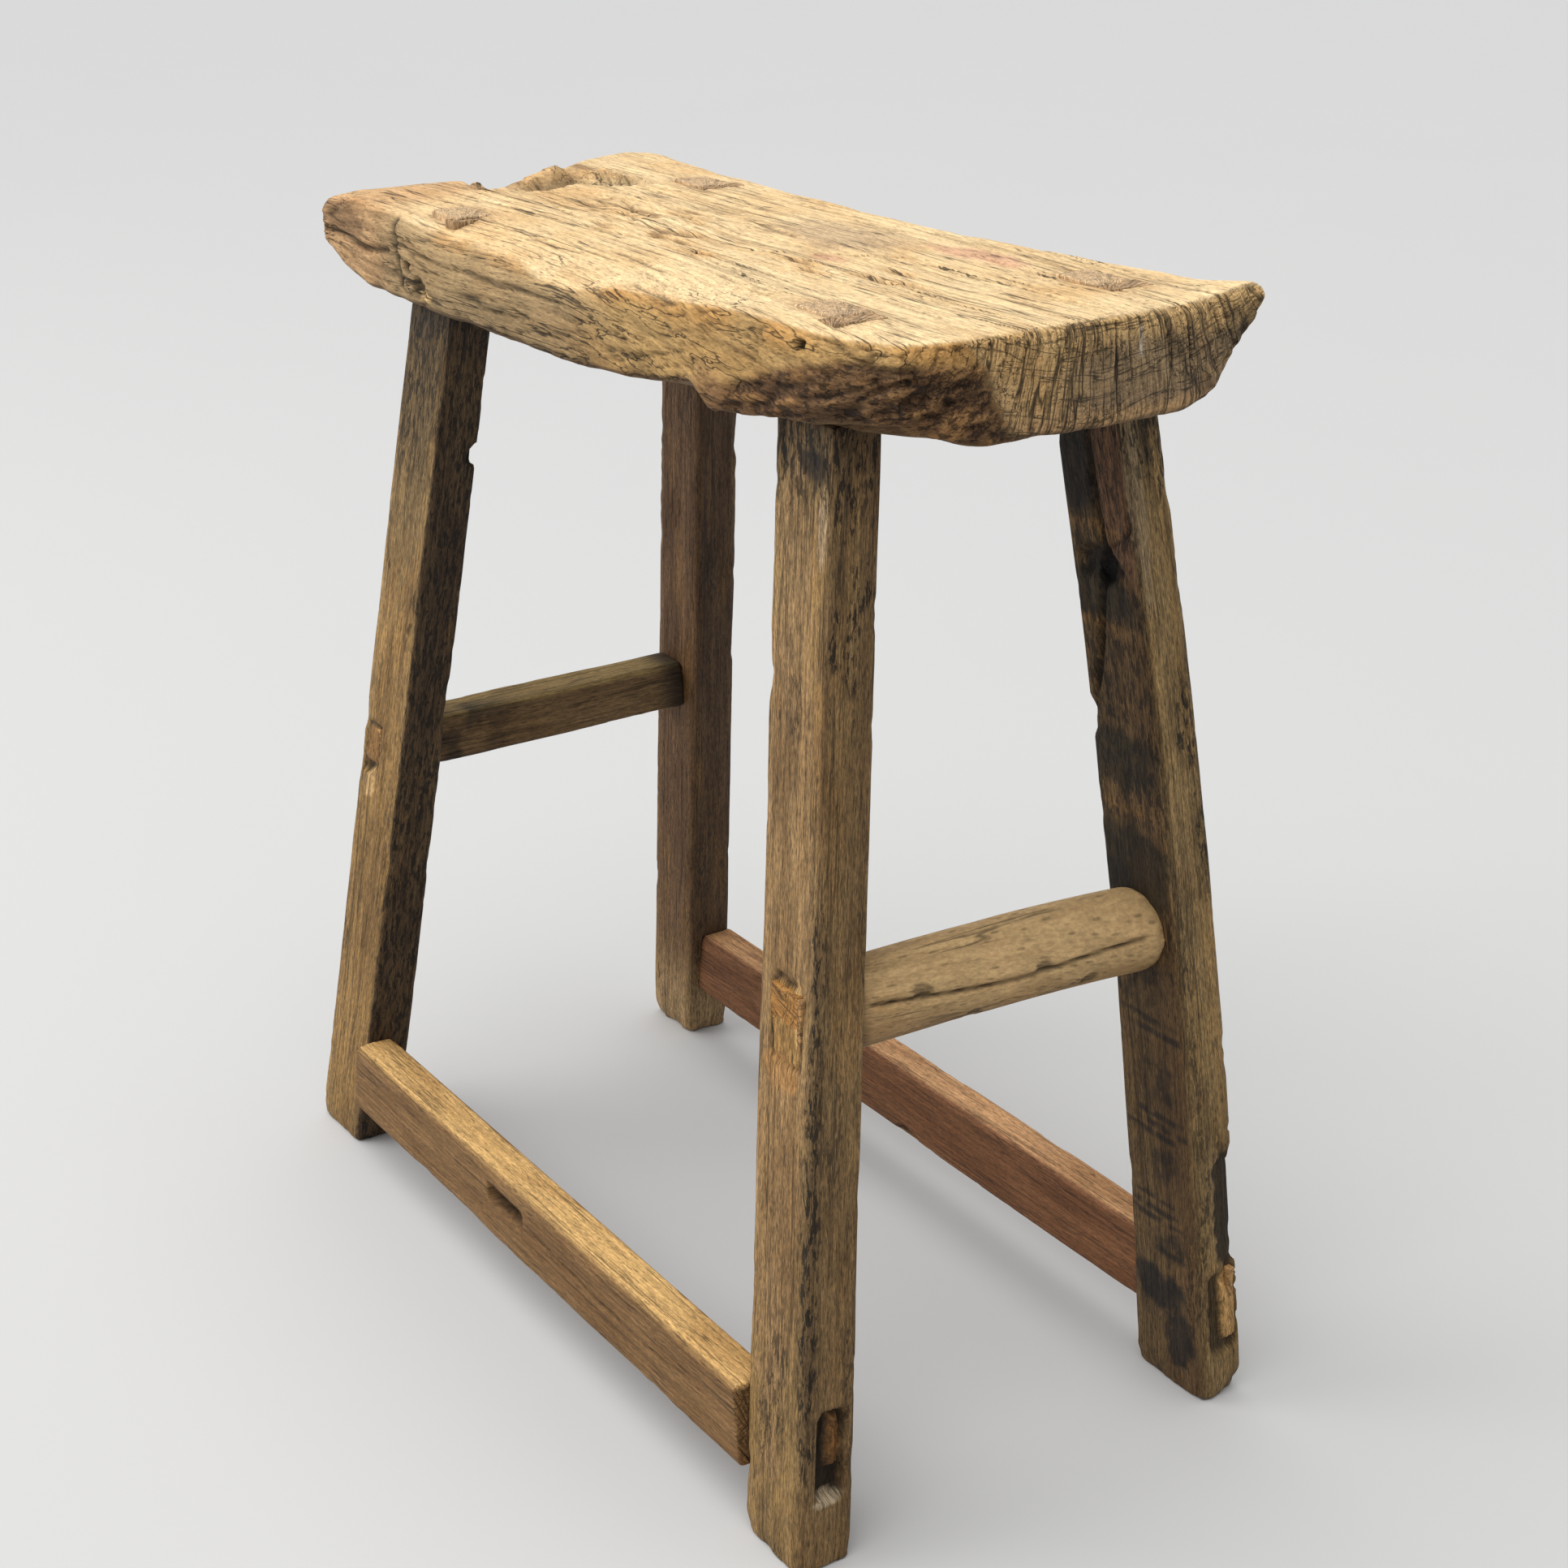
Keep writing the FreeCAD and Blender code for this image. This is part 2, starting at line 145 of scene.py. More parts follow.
def rough_noise(place: Array, seed: int, layers: int = 3) -> Array:
    """Noise with finer and fainter layers added, round zero.

    Args:
        place: Positions, one row of three each.
        seed: Chooses the pattern.
        layers: How many layers, each twice as fine as the last.

    Returns:
        A number from about -1 to 1 for each row.
    """
    total = np.zeros(len(place))
    weight = 1.0
    reach = 0.0
    for layer in range(layers):
        total += weight * (2.0 * value_noise(place * 2.0**layer, seed + 17 * layer) - 1.0)
        reach += weight
        weight *= 0.55
    return total / reach


def curve_through(points: list[Pair], count: int = 24) -> Array:
    """Run a smooth curve through a few points.

    Args:
        points: The points, in order.
        count: How many steps each stretch is cut into.

    Returns:
        The curve's points, one row of two each.
    """
    knots = np.array(points, float)
    padded = np.vstack([2 * knots[0] - knots[1], knots, 2 * knots[-1] - knots[-2]])
    share = np.linspace(0.0, 1.0, count, endpoint=False)[:, None]
    runs = []
    for before, start, stop, after in zip(padded, padded[1:], padded[2:], padded[3:]):
        slope_in = (stop - before) / 2.2
        slope_out = (after - start) / 2.2
        runs.append(
            (2 * share**3 - 3 * share**2 + 1) * start
            + (share**3 - 2 * share**2 + share) * slope_in
            + (3 * share**2 - 2 * share**3) * stop
            + (share**3 - share**2) * slope_out
        )
    return np.vstack([*runs, knots[-1:]])


def spread(curve: Array, shares: Array) -> Array:
    """Read a curve at given shares of its length.

    Args:
        curve: Points along the curve.
        shares: Shares of its length, 0 to 1.

    Returns:
        One row for each share.
    """
    steps = np.hypot(*np.diff(curve, axis=0).T)
    run = np.concatenate([[0.0], np.cumsum(steps)])
    run /= run[-1]
    return np.column_stack([np.interp(shares, run, axis) for axis in curve.T])


def gap_to(path: Array, across: Array, along: Array) -> tuple[Array, Array]:
    """Find how far each point is from a path, and how far along it.

    Args:
        path: The path's points, one row of two each.
        across: Second coordinate of each point.
        along: First coordinate of each point.

    Returns:
        The distances, and the shares along the path of the nearest places.
    """
    best = np.full(len(along), 1e9)
    share = np.zeros(len(along))
    count = len(path) - 1
    for number, (start, stop) in enumerate(zip(path, path[1:])):
        run = stop - start
        size = max(float(run @ run), 1e-9)
        part = ((along - start[0]) * run[0] + (across - start[1]) * run[1]) / size
        part = np.clip(part, 0.0, 1.0)
        away = np.hypot(along - start[0] - part * run[0], across - start[1] - part * run[1])
        nearer = away < best
        best = np.where(nearer, away, best)
        share = np.where(nearer, (number + part) / count, share)
    return best, share


def groove(away: Array, width: float, thin: Array, least: float) -> Array:
    """Give 1 in a groove's middle and 0 past its edges; least is the width left where thin is 0."""
    return np.clip(1.0 - away / (width / 2 * (least + (1.0 - least) * thin)), 0.0, 1.0)


def round_heart(first: Array, second: Array, heart: Pair) -> tuple[Array, Array]:
    """Find each point's distance and angle from the heart of the tree.

    Args:
        first: First coordinate across the grain.
        second: Second coordinate across the grain.
        heart: Where the heart lies.

    Returns:
        The distances, and the angles from 0 to a full turn.
    """
    ring = np.hypot(first - heart[0], second - heart[1])
    turn = np.arctan2(second - heart[1], first - heart[0])
    base = math.atan2(-heart[1], -heart[0])
    return ring, np.mod(turn - base + math.pi, 2 * math.pi)


def linked(name: str, data: bpy.types.ID) -> bpy.types.Object:
    """Make an object of its data and put it in the scene.

    Args:
        name: The object's name.
        data: Its mesh, lamp or camera.

    Returns:
        The object.
    """
    made = bpy.data.objects.new(name, data)
    bpy.context.scene.collection.objects.link(made)
    return made


# ---------------------------------------------------------------- skins


@dataclass
class Face:
    """One side of a piece, seen flat: where each point lies on it and how much it belongs."""

    along: Array
    across: Array
    share: Array
    seed: int = 1

    def spot(
        self,
        along: float,
        across: float,
        reach_along: float,
        reach_across: float,
        ragged: float = 0.25,
        square: float = 2.0,
        soft: float = 0.35,
        grit: float = 7.0,
    ) -> Array:
        """Cover a patch with a ragged edge.

        Args:
            along: Middle of the patch, first coordinate.
            across: Middle of the patch, second coordinate.
            reach_along: Half its size in the first coordinate.
            reach_across: Half its size in the second coordinate.
            ragged: How far the edge wanders, as a share of the reach.
            square: 2 gives an ellipse and larger numbers a box.
            soft: How much of the reach the edge fades over.
            grit: Size of the wandering, in millimetres.

        Returns:
            The patch's strength at each point, 0 to 1.
        """
        out = np.abs((self.along - along) / reach_along) ** square
        out = (out + np.abs((self.across - across) / reach_across) ** square) ** (1 / square)
        place = np.column_stack([self.along / grit, self.across / grit, out * 0 + along])
        out = out + ragged * rough_noise(place, self.seed + 5, 3)
        return self.share * smooth(1.0 + soft / 2, 1.0 - soft / 2, out)

    def line(self, path: list[Pair], width: float, fade: float = 0.15) -> Array:
        """Follow a path with a groove-shaped strength.

        Args:
            path: The points it passes through.
            width: Full width of the line.
            fade: Share of the length over which each end thins out.

        Returns:
            The line's strength at each point, 1 in its middle.
        """
        away, share = gap_to(curve_through(path, 8), self.across, self.along)
        ends = smooth(-0.01, fade, share) * smooth(1.01, 1.0 - fade, share)
        return self.share * groove(away, width, ends, 0.35) * (0.3 + 0.7 * ends)


@dataclass
class Skin:
    """A piece's surface while it is worked."""

    points: Array
    quads: Array
    tris: Array
    grain: Array
    tone: Array
    ends: Array = field(init=False)
    soot: Array = field(init=False)

    def __post_init__(self) -> None:
        """Start with no end grain and no soot."""
        self.ends = np.zeros(len(self.points))
        self.soot = np.zeros(len(self.points))

    def normals(self) -> Array:
        """Work out the outward direction at each point.

        Returns:
            Unit directions, one row of three each.
        """
        total = np.zeros_like(self.points)
        for faces in (self.quads, self.tris):
            if not len(faces):
                continue
            corner = self.points[faces]
            last = corner.shape[1] - 1
            first_run = corner[:, 2 if last == 3 else 1] - corner[:, 0]
            second_run = corner[:, last] - corner[:, 1 if last == 3 else 0]
            facing = np.cross(first_run, second_run)
            ends = faces.ravel()
            for axis in range(3):
                weight = np.repeat(facing[:, axis], faces.shape[1])
                total[:, axis] += np.bincount(ends, weight, len(total))
        return total / np.maximum(np.linalg.norm(total, axis=1, keepdims=True), 1e-12)

    def push(self, amount: Array) -> None:
        """Move each point outwards by its amount, in millimetres."""
        self.points = self.points + self.normals() * amount[:, None]

    def colour(self, share: Array, tone: Array) -> None:
        """Lay a colour over the skin, as strongly as share says."""
        share = (np.clip(share, 0, 1) * np.ones(len(self.tone)))[:, None]
        self.tone = self.tone * (1 - share) + tone * share

    def shade(self, share: Array, factor: float) -> None:
        """Multiply the tone by factor where share is 1."""
        self.tone = self.tone * (1 - np.clip(share, 0, 1) * (1 - factor))[:, None]

    def smoke(self, share: Array) -> None:
        """Let mould show at least as strongly as share says."""
        self.soot = np.maximum(self.soot, share)

    def cut(self, share: Array, depth: float, dark: float) -> None:
        """Sink the skin by depth where share is 1, and darken the bottom of the cut with painted shade.
        """
        self.push(-depth * share)
        self.shade(share, dark)

    def fibres(self, along: float, across: float, seed: int, layers: int = 3) -> Array:
        """Noise from about -1 to 1, in streaks so many millimetres along and across the grain."""
        return rough_noise(self.grain / np.array([along, across, across]), seed, layers)

    def clouds(self, size: float, seed: int, layers: int = 3) -> Array:
        """Noise from about -1 to 1, in bumps of one size, in millimetres, every way."""
        return rough_noise(self.points / size, seed, layers)

    def mesh(self, name: str, material: bpy.types.Material) -> bpy.types.Object:
        """Write the skin as a mesh object.

        Args:
            name: The piece's name.
            material: Its finish.

        Returns:
            The new object.
        """
        data = bpy.data.meshes.new(name)
        loops = np.concatenate([self.quads.ravel(), self.tris.ravel()]).astype(np.int32)
        sizes = np.array([4] * len(self.quads) + [3] * len(self.tris), np.int32)
        data.vertices.add(len(self.points))
        data.vertices.foreach_set("co", (self.points * MM).astype(np.float32).ravel())
        data.loops.add(len(loops))
        data.loops.foreach_set("vertex_index", loops)
        data.polygons.add(len(sizes))
        starts = np.concatenate([[0], np.cumsum(sizes)[:-1]]).astype(np.int32)
        data.polygons.foreach_set("loop_start", starts)
        data.polygons.foreach_set("use_smooth", np.ones(len(sizes), bool))
        data.update(calc_edges=True)
        write_attribute(data, "grain", "FLOAT_VECTOR", self.grain * MM)
        opaque = np.column_stack([np.clip(self.tone, 0, 1), np.ones(len(self.tone))])
        write_attribute(data, "tone", "FLOAT_COLOR", opaque)
        write_attribute(data, "ends", "FLOAT", self.ends)
        write_attribute(data, "soot", "FLOAT", np.clip(self.soot, 0, 1))
        data.materials.append(material)
        data.validate()
        return linked(name, data)


def write_attribute(data: bpy.types.Mesh, name: str, kind: str, values: Array) -> None:
    """Store one number, vector or colour for each point of a mesh.

    Args:
        data: The mesh.
        name: The attribute's name.
        kind: FLOAT, FLOAT_VECTOR or FLOAT_COLOR.
        values: The values, one row for each point.
    """
    key = {"FLOAT": "value", "FLOAT_VECTOR": "vector", "FLOAT_COLOR": "color"}[kind]
    layer = data.attributes.new(name, kind, "POINT")
    layer.data.foreach_set(key, np.ascontiguousarray(values, np.float32).ravel())


def joined(skins: list[Skin]) -> Skin:
    """Put several skins into one.

    Args:
        skins: The skins.

    Returns:
        One skin that holds them all.
    """
    starts = np.cumsum([0] + [len(skin.points) for skin in skins[:-1]])
    faces = (
        np.vstack([getattr(skin, kind) + start for skin, start in zip(skins, starts)])
        for kind in ("quads", "tris")
    )
    points, grain, tone, ends, soot = (
        np.concatenate([getattr(skin, kind) for skin in skins])
        for kind in ("points", "grain", "tone", "ends", "soot")
    )
    whole = Skin(points, *faces, grain, tone)
    whole.ends, whole.soot = ends, soot
    return whole


# ---------------------------------------------------------------- finishes


class Nodes:
    """Adds nodes to a tree and feeds them."""

    def __init__(self, tree: bpy.types.NodeTree) -> None:
        """Take the tree to fill."""
        self.tree = tree

    def add(self, kind: str, inputs: dict | None = None, **settings: object) -> bpy.types.Node:
        """Add a node, set it and feed it.

        Args:
            kind: The node's type name.
            inputs: What each input gets, by name or number: a socket or a plain value.
            **settings: Attributes of the node.

        Returns:
            The node.
        """
        node = self.tree.nodes.new(kind)
        for key, value in settings.items():
            setattr(node, key, value)
        for key, value in (inputs or {}).items():
            if isinstance(value, Socket):
                self.tree.links.new(value, node.inputs[key])
            else:
                node.inputs[key].default_value = value
        return node


class Graph(Nodes):
    """The nodes of one material."""

    def __init__(self, material: bpy.types.Material) -> None:
        """Start with an empty node tree.

        Args:
            material: The material to fill.
        """
        material.use_nodes = True
        super().__init__(material.node_tree)
        self.tree.nodes.clear()

    def attribute(self, name: str, output: str) -> Socket:
        """Read an attribute of the piece from one of the node's outputs."""
        return self.add("ShaderNodeAttribute", attribute_name=name).outputs[output]

    def math(self, operation: str, first: object, second: object = 0.0) -> Socket:
        """Join two numbers, each a socket or a plain number, by a sum."""
        return self.add("ShaderNodeMath", {0: first, 1: second}, operation=operation).outputs[0]

    def times(self, first: object, second: object) -> Socket:
        """Multiply two numbers."""
        return self.math("MULTIPLY", first, second)

    def most(self, first: object, second: object) -> Socket:
        """Take the larger of two numbers."""
        return self.math("MAXIMUM", first, second)

    def crease(self, pattern: Socket, reach: float, strength: float = 1.0) -> Socket:
        """Draw a line where a pattern crosses its middle value, fading out at reach from it."""
        away = self.math("ABSOLUTE", self.math("SUBTRACT", pattern, 0.5))
        return self.band(away, 0.0, reach, strength, 0.0)

    def stretched(self, vector: Socket, scale: Triple) -> Socket:
        """Multiply a vector by three numbers."""
        return self.add("ShaderNodeVectorMath", {0: vector, 1: scale}, operation="MULTIPLY").outputs[0]

    def noise(
        self, vector: Socket, scale: Triple, detail: float, rough: float = 0.55, warp: float = 0.0
    ) -> Socket:
        """Read a noise pattern.

        Args:
            vector: Where to read it.
            scale: How many bumps a metre holds, each way.
            detail: Layers of detail.
            rough: Strength of the fine layers.
            warp: How far the pattern is pulled about.

        Returns:
            A number from 0 to 1.
        """
        inputs = {"Vector": self.stretched(vector, scale), "Scale": 1.0, "Detail": detail}
        inputs |= {"Roughness": rough, "Distortion": warp}
        return self.add("ShaderNodeTexNoise", inputs).outputs[0]

    def band(
        self, value: Socket, low: float, high: float, start: float = 0.0, stop: float = 1.0
    ) -> Socket:
        """Map low to start and high to stop, smoothly, and hold the number between them."""
        inputs = {"Value": value, "From Min": low, "From Max": high, "To Min": start, "To Max": stop}
        return self.add("ShaderNodeMapRange", inputs, interpolation_type="SMOOTHSTEP").outputs[0]

    def mixed(self, share: object, first: object, second: object, blend: str = "MIX") -> Socket:
        """Mix two colours, with share of the second."""
        inputs = {0: share, 6: first, 7: second}
        return self.add("ShaderNodeMix", inputs, data_type="RGBA", blend_type=blend).outputs[2]

    def surface(self, inputs: dict[str, object]) -> None:
        """End the material with its shader, fed by name."""
        shader = self.add("ShaderNodeBsdfPrincipled", inputs)
        self.add("ShaderNodeOutputMaterial", {"Surface": shader.outputs[0]})


@dataclass(frozen=True)
class WoodFinish:
    """One kind of worn timber; its colour comes from the painted tone."""

    name: str
    streak: float
    speckle: float
    checks: float
    ring_step: float
    ring_depth: float
    relief: float
    grey: Triple
    warm: Triple
    dirt: Triple
    dirt_share: float
    matt: float
    dash_share: float = 0.75
    line_share: float = 1.0

    def material(self) -> bpy.types.Material:
        """Build the finish's nodes.

        Returns:
            The material.
        """
        made = bpy.data.materials.new(self.name)
        graph = Graph(made)
        grain = graph.attribute("grain", "Vector")
        tone = graph.attribute("tone", "Color")
        ends = graph.attribute("ends", "Fac")
        soot = graph.attribute("soot", "Fac")

        streaks = graph.noise(grain, (24, 560, 560), 6, 0.68, 0.3)
        hairs = graph.noise(grain, (300, 1500, 1500), 4, 0.72)
        dashes = graph.noise(grain, (80, 760, 760), 4, 0.65, 0.2)
        mould = graph.noise(grain, (120, 420, 420), 4, 0.7, 0.3)
        mottle = graph.noise(grain, (11, 45, 45), 4, 0.6, 0.4)
        rays = graph.noise(grain, (30, 70, 900), 4, 0.6, 0.1)
        rings = self.rings(graph, grain)
        hairline = self.hairlines(graph, grain, ends)
        pores = self.pores(graph, grain)

        figure = graph.mixed(graph.band(streaks, 0.3, 0.72), (*self.grey, 1), (*self.warm, 1))
        colour = graph.mixed(self.streak, tone, figure, "MULTIPLY")
        grime = graph.band(mottle, 0.42, 0.72, 0.0, self.dirt_share)
        colour = graph.mixed(grime, colour, (*self.dirt, 1), "MULTIPLY")
        fine = graph.band(hairs, 0.34, 0.66, 1.0 - self.speckle, 1.0 + self.speckle * 0.7)
        fine = graph.times(fine, graph.band(rings, 0.0, 1.0, 1.0 - self.ring_depth, 1.0))
        ray_shade = graph.band(rays, 0.36, 0.56, 0.52, 1.2)
        ray_shade = graph.math("POWER", ray_shade, ends)
        fine = graph.times(fine, ray_shade)
        dark = graph.times(hairline, self.checks)
        dark = graph.most(dark, graph.times(pores, self.checks * 0.5))
        dark = graph.most(dark, graph.band(dashes, 0.6, 0.7, 0.0, self.checks * self.dash_share))
        blot = graph.times(graph.band(mould, 0.5, 0.58), soot)
        dark = graph.most(dark, graph.times(blot, 0.88))
        fine = graph.times(fine, graph.math("SUBTRACT", 1.0, dark))
        level = graph.add("ShaderNodeCombineColor", {0: fine, 1: fine, 2: fine})
        colour = graph.mixed(1.0, colour, level.outputs[0], "MULTIPLY")

        height = graph.times(streaks, 0.55)
        for layer, share in ((hairs, 0.4), (rings, 0.14), (dark, -0.9)):
            height = graph.math("ADD", height, graph.times(layer, share))
        bump = graph.add(
            "ShaderNodeBump", {"Strength": 0.75, "Distance": self.relief * MM, "Height": height}
        )

        rough = graph.band(streaks, 0.25, 0.75, self.matt + 0.1, self.matt - 0.1)
        graph.surface(
            {
                "Base Color": colour, "Roughness": rough, "Normal": bump.outputs[0],
                "Specular IOR Level": 0.28,
            }
        )
        return made

    def rings(self, graph: Graph, grain: Socket) -> Socket:
        """Shade the year rings from the distance to the heart of the tree.

        Args:
            graph: The material's nodes.
            grain: The wood coordinates.

        Returns:
            A number from 0 in late wood to 1 in early wood.
        """
        parts = graph.add("ShaderNodeSeparateXYZ", {0: grain})
        wander = graph.noise(grain, (7, 30, 30), 3, 0.5)
        turn = graph.times(parts.outputs[1], 1.0 / (self.ring_step * MM))
        turn = graph.math("ADD", turn, graph.times(wander, 3.2))
        saw = graph.math("FRACT", turn)
        return graph.math("POWER", graph.math("SUBTRACT", 1.0, saw), 0.6)

    def hairlines(self, graph: Graph, grain: Socket, ends: Socket) -> Socket:
        """Draw fine drying checks along the grain, and crossed ones on end grain.

        Args:
            graph: The material's nodes.
            grain: The wood coordinates.
            ends: How much of the surface is end grain.

        Returns:
            A number from 0 to 1, 1 inside a check.
        """
        field_value = graph.noise(grain, (5, 170, 230), 3, 0.5, 0.06)
        line = graph.crease(field_value, 0.02)
        where = graph.noise(grain, (12, 70, 70), 2, 0.5)
        line = graph.times(line, graph.band(where, 0.42, 0.54))
        ray_field = graph.noise(grain, (20, 9, 120), 3, 0.6, 0.15)
        ring_field = graph.noise(grain, (20, 130, 14), 3, 0.6, 0.2)
        ray = graph.crease(ray_field, 0.026)
        ring = graph.crease(ring_field, 0.018, 0.9)
        crossed = graph.times(graph.most(ray, ring), ends)
        return graph.most(graph.times(line, self.line_share), crossed)

    def pores(self, graph: Graph, grain: Socket) -> Socket:
        """Draw short open pores.

        Args:
            graph: The material's nodes.
            grain: The wood coordinates.

        Returns:
            1 inside a pore and 0 between them.
        """
        inputs = {"Vector": graph.stretched(grain, (85, 900, 900)), "Scale": 1.0}
        cells = graph.add("ShaderNodeTexVoronoi", inputs)
        return graph.band(cells.outputs["Distance"], 0.12, 0.3, 1.0, 0.0)


@dataclass(frozen=True)
class FloorFinish:
    """A plain pale floor with a faint unevenness."""

    name: str = "pale_floor"
    tone: Triple = (0.5, 0.492, 0.48)

    def material(self) -> bpy.types.Material:
        """Build the finish's nodes.

        Returns:
            The material.
        """
        made = bpy.data.materials.new(self.name)
        graph = Graph(made)
        place = graph.add("ShaderNodeTexCoord").outputs["Object"]
        cloud = graph.noise(place, (3, 3, 3), 3)
        rough = graph.band(cloud, 0.3, 0.7, 0.7, 0.8)
        graph.surface(
            {"Base Color": (*self.tone, 1), "Roughness": rough, "Specular IOR Level": 0.2}
        )
        return made


SEAT_WOOD = WoodFinish(
    name="seat_elm", streak=0.7, speckle=0.24, checks=0.85, ring_step=2.6, ring_depth=0.14,
    relief=1.0, grey=(0.64, 0.58, 0.52), warm=(1.14, 1.1, 1.02), dirt=(0.84, 0.73, 0.6),
    dirt_share=0.55, matt=0.78, dash_share=0.3,
)
LEG_WOOD = WoodFinish(
    name="leg_elm", streak=0.8, speckle=0.5, checks=0.85, ring_step=3.4, ring_depth=0.12,
    relief=1.1, grey=(0.6, 0.56, 0.5), warm=(1.3, 1.24, 1.1), dirt=(0.55, 0.5, 0.42),
    dirt_share=0.8, matt=0.7, line_share=0.7,
)
RAIL_WOOD = WoodFinish(
    name="rail_wood", streak=0.75, speckle=0.3, checks=0.8, ring_step=2.4, ring_depth=0.22,
    relief=1.0, grey=(0.62, 0.56, 0.5), warm=(1.2, 1.12, 1.0), dirt=(0.66, 0.58, 0.48),
    dirt_share=0.7, matt=0.72, dash_share=0.6, line_share=0.7,
)
RUNG_WOOD = WoodFinish(
    name="rung_wood", streak=0.7, speckle=0.2, checks=0.75, ring_step=3.0, ring_depth=0.1,
    relief=0.7, grey=(0.72, 0.66, 0.6), warm=(1.12, 1.07, 1.0), dirt=(0.72, 0.62, 0.52),
    dirt_share=0.7, matt=0.66, dash_share=0.15, line_share=0.8,
)
WEDGE_WOOD = WoodFinish(
    name="wedge_wood", streak=0.7, speckle=0.3, checks=0.6, ring_step=1.6, ring_depth=0.2,
    relief=0.5, grey=(0.7, 0.64, 0.58), warm=(1.15, 1.08, 1.0), dirt=(0.6, 0.5, 0.4),
    dirt_share=0.6, matt=0.75,
)


# ---------------------------------------------------------------- blanks


class Side(Enum):
    """A side of a bar, by where it lies across the section."""

    PLUS_U = (1, 0)
    MINUS_U = (-1, 0)
    PLUS_V = (0, 1)
    MINUS_V = (0, -1)


def rounded_outline(wide: float, deep: float, arris: float, count: int) -> Array:
    """Draw a box outline with rounded corners.

    Args:
        wide: Size in the first coordinate.
        deep: Size in the second coordinate.
        arris: Radius of the corners.
        count: How many points.

    Returns:
        The points, anticlockwise, one row of two each.
    """
    turns = np.linspace(0.0, math.pi / 2, 7)
    runs = []
    for quarter, (side_u, side_v) in enumerate(((1, 1), (-1, 1), (-1, -1), (1, -1))):
        middle = np.array([side_u * (wide / 2 - arris), side_v * (deep / 2 - arris)])
        angle = turns + quarter * math.pi / 2
        runs.append(middle + arris * np.column_stack([np.cos(angle), np.sin(angle)]))
    outline = np.vstack([*runs, runs[0][:1]])
    return spread(outline, np.arange(count) / count)


@dataclass
class Blank:
    """A straight bar laid out ring by ring, before it is placed and worn."""

    length: float
    wide: float
    deep: float
    arris: float = 3.0
    step: float = 1.7
    around: int = 96
    end_round: float = 1.5
    outline: Array | None = None

    def __post_init__(self) -> None:
        """Lay out the stations, the section points and the faces."""
        rise = np.array([0.0, 0.35, 0.8, 1.5, 2.6])
        middle = np.arange(4.2, self.length - 4.2, self.step)
        stations = np.concatenate([rise, middle, self.length - rise[::-1]])
        if self.outline is None:
            self.outline = rounded_outline(self.wide, self.deep, self.arris, self.around)
        away = np.minimum(stations, self.length - stations)
        short = np.clip(self.end_round - away, 0.0, self.end_round)
        inset = self.end_round - np.sqrt(self.end_round**2 - short**2)
        shrink = 1.0 - 2.0 * inset / min(self.wide, self.deep)
        cap = np.array([0.12, 0.26, 0.4, 0.54, 0.68, 0.82, 0.93])
        rings = np.concatenate(
            [np.zeros(len(cap)), stations, np.full(len(cap), self.length)]
        )
        scale = np.concatenate([cap * shrink[0], shrink, cap[::-1] * shrink[-1]])
        self.station = np.concatenate([[0.0], np.repeat(rings, self.around), [self.length]])
        flat = (self.outline[None, :, :] * scale[:, None, None]).reshape(-1, 2)
        self.u = np.concatenate([[0.0], flat[:, 0], [0.0]])
        self.v = np.concatenate([[0.0], flat[:, 1], [0.0]])
        self.faces(len(rings))

    def faces(self, rings: int) -> None:
        """Join the rings with quads and close both ends with fans.

        Args:
            rings: How many rings there are.
        """
        ring, turn = np.meshgrid(np.arange(rings - 1), np.arange(self.around), indexing="ij")
        after = (turn + 1) % self.around
        low, high = 1 + ring * self.around, 1 + (ring + 1) * self.around
        self.quads = np.stack(
            [low + turn, low + after, high + after, high + turn], axis=-1
        ).reshape(-1, 4)
        turn = np.arange(self.around)
        after = (turn + 1) % self.around
        last = 1 + (rings - 1) * self.around
        tip = np.full(self.around, len(self.u) - 1)
        self.tris = np.vstack(
            [
                np.column_stack([np.zeros_like(turn), 1 + after, 1 + turn]),
                np.column_stack([tip, last + turn, last + after]),
            ]
        )

    def skin(self, points: Array, heart: Pair, tone: Array) -> Skin:
        """Start the skin of the placed bar.

        Args:
            points: Where each point of the blank lies, in millimetres.
            heart: Where the heart of the tree lies across the section.
            tone: The first tone.

        Returns:
            The skin.
        """
        ring, turn = round_heart(self.u, self.v, heart)
        grain = np.column_stack([self.station, ring, np.unwrap(turn) * math.hypot(*heart)])
        made = Skin(points, self.quads, self.tris, grain, np.tile(tone, (len(points), 1)))
        away = np.minimum(self.station, self.length - self.station)
        made.ends = smooth(0.8, 0.0, away)
        return made

    def waves(self, length: float, across: float, seed: int) -> Array:
        """Noise from about -1 to 1 in the bar's own measures, for its slow bends."""
        place = np.column_stack([self.station / length, self.u / across, self.v / across])
        return rough_noise(place, seed)

    def corners(self, start_u: float, start_v: float, full: float) -> Array:
        """Rise to 1 at each arris, from given shares of the half width and half depth."""
        near = smooth(start_u, full, np.abs(self.u * 2 / self.wide))
        return near * smooth(start_v, full, np.abs(self.v * 2 / self.deep))

    def side(self, side: Side, seed: int = 1) -> Face:
        """Look at one side of the bar flat.

        Args:
            side: Which side.
            seed: Chooses how its patches wander.

        Returns:
            The side, with the station first and the place across it second.
        """
        out = self.u * side.value[0] + self.v * side.value[1]
        half = (self.wide if side.value[0] else self.deep) / 2
        across = self.v if side.value[0] else self.u
        share = smooth(half - self.arris - 0.4, half - self.arris * 0.45, out)
        return Face(self.station, across, share, seed)

    def end(self, last: bool, seed: int = 1) -> Face:
        """Look flat at the near or the last end of the bar, with u first and v second."""
        share = smooth(1.2, 0.2, self.length - self.station if last else self.station)
        return Face(self.u, self.v, share, seed)


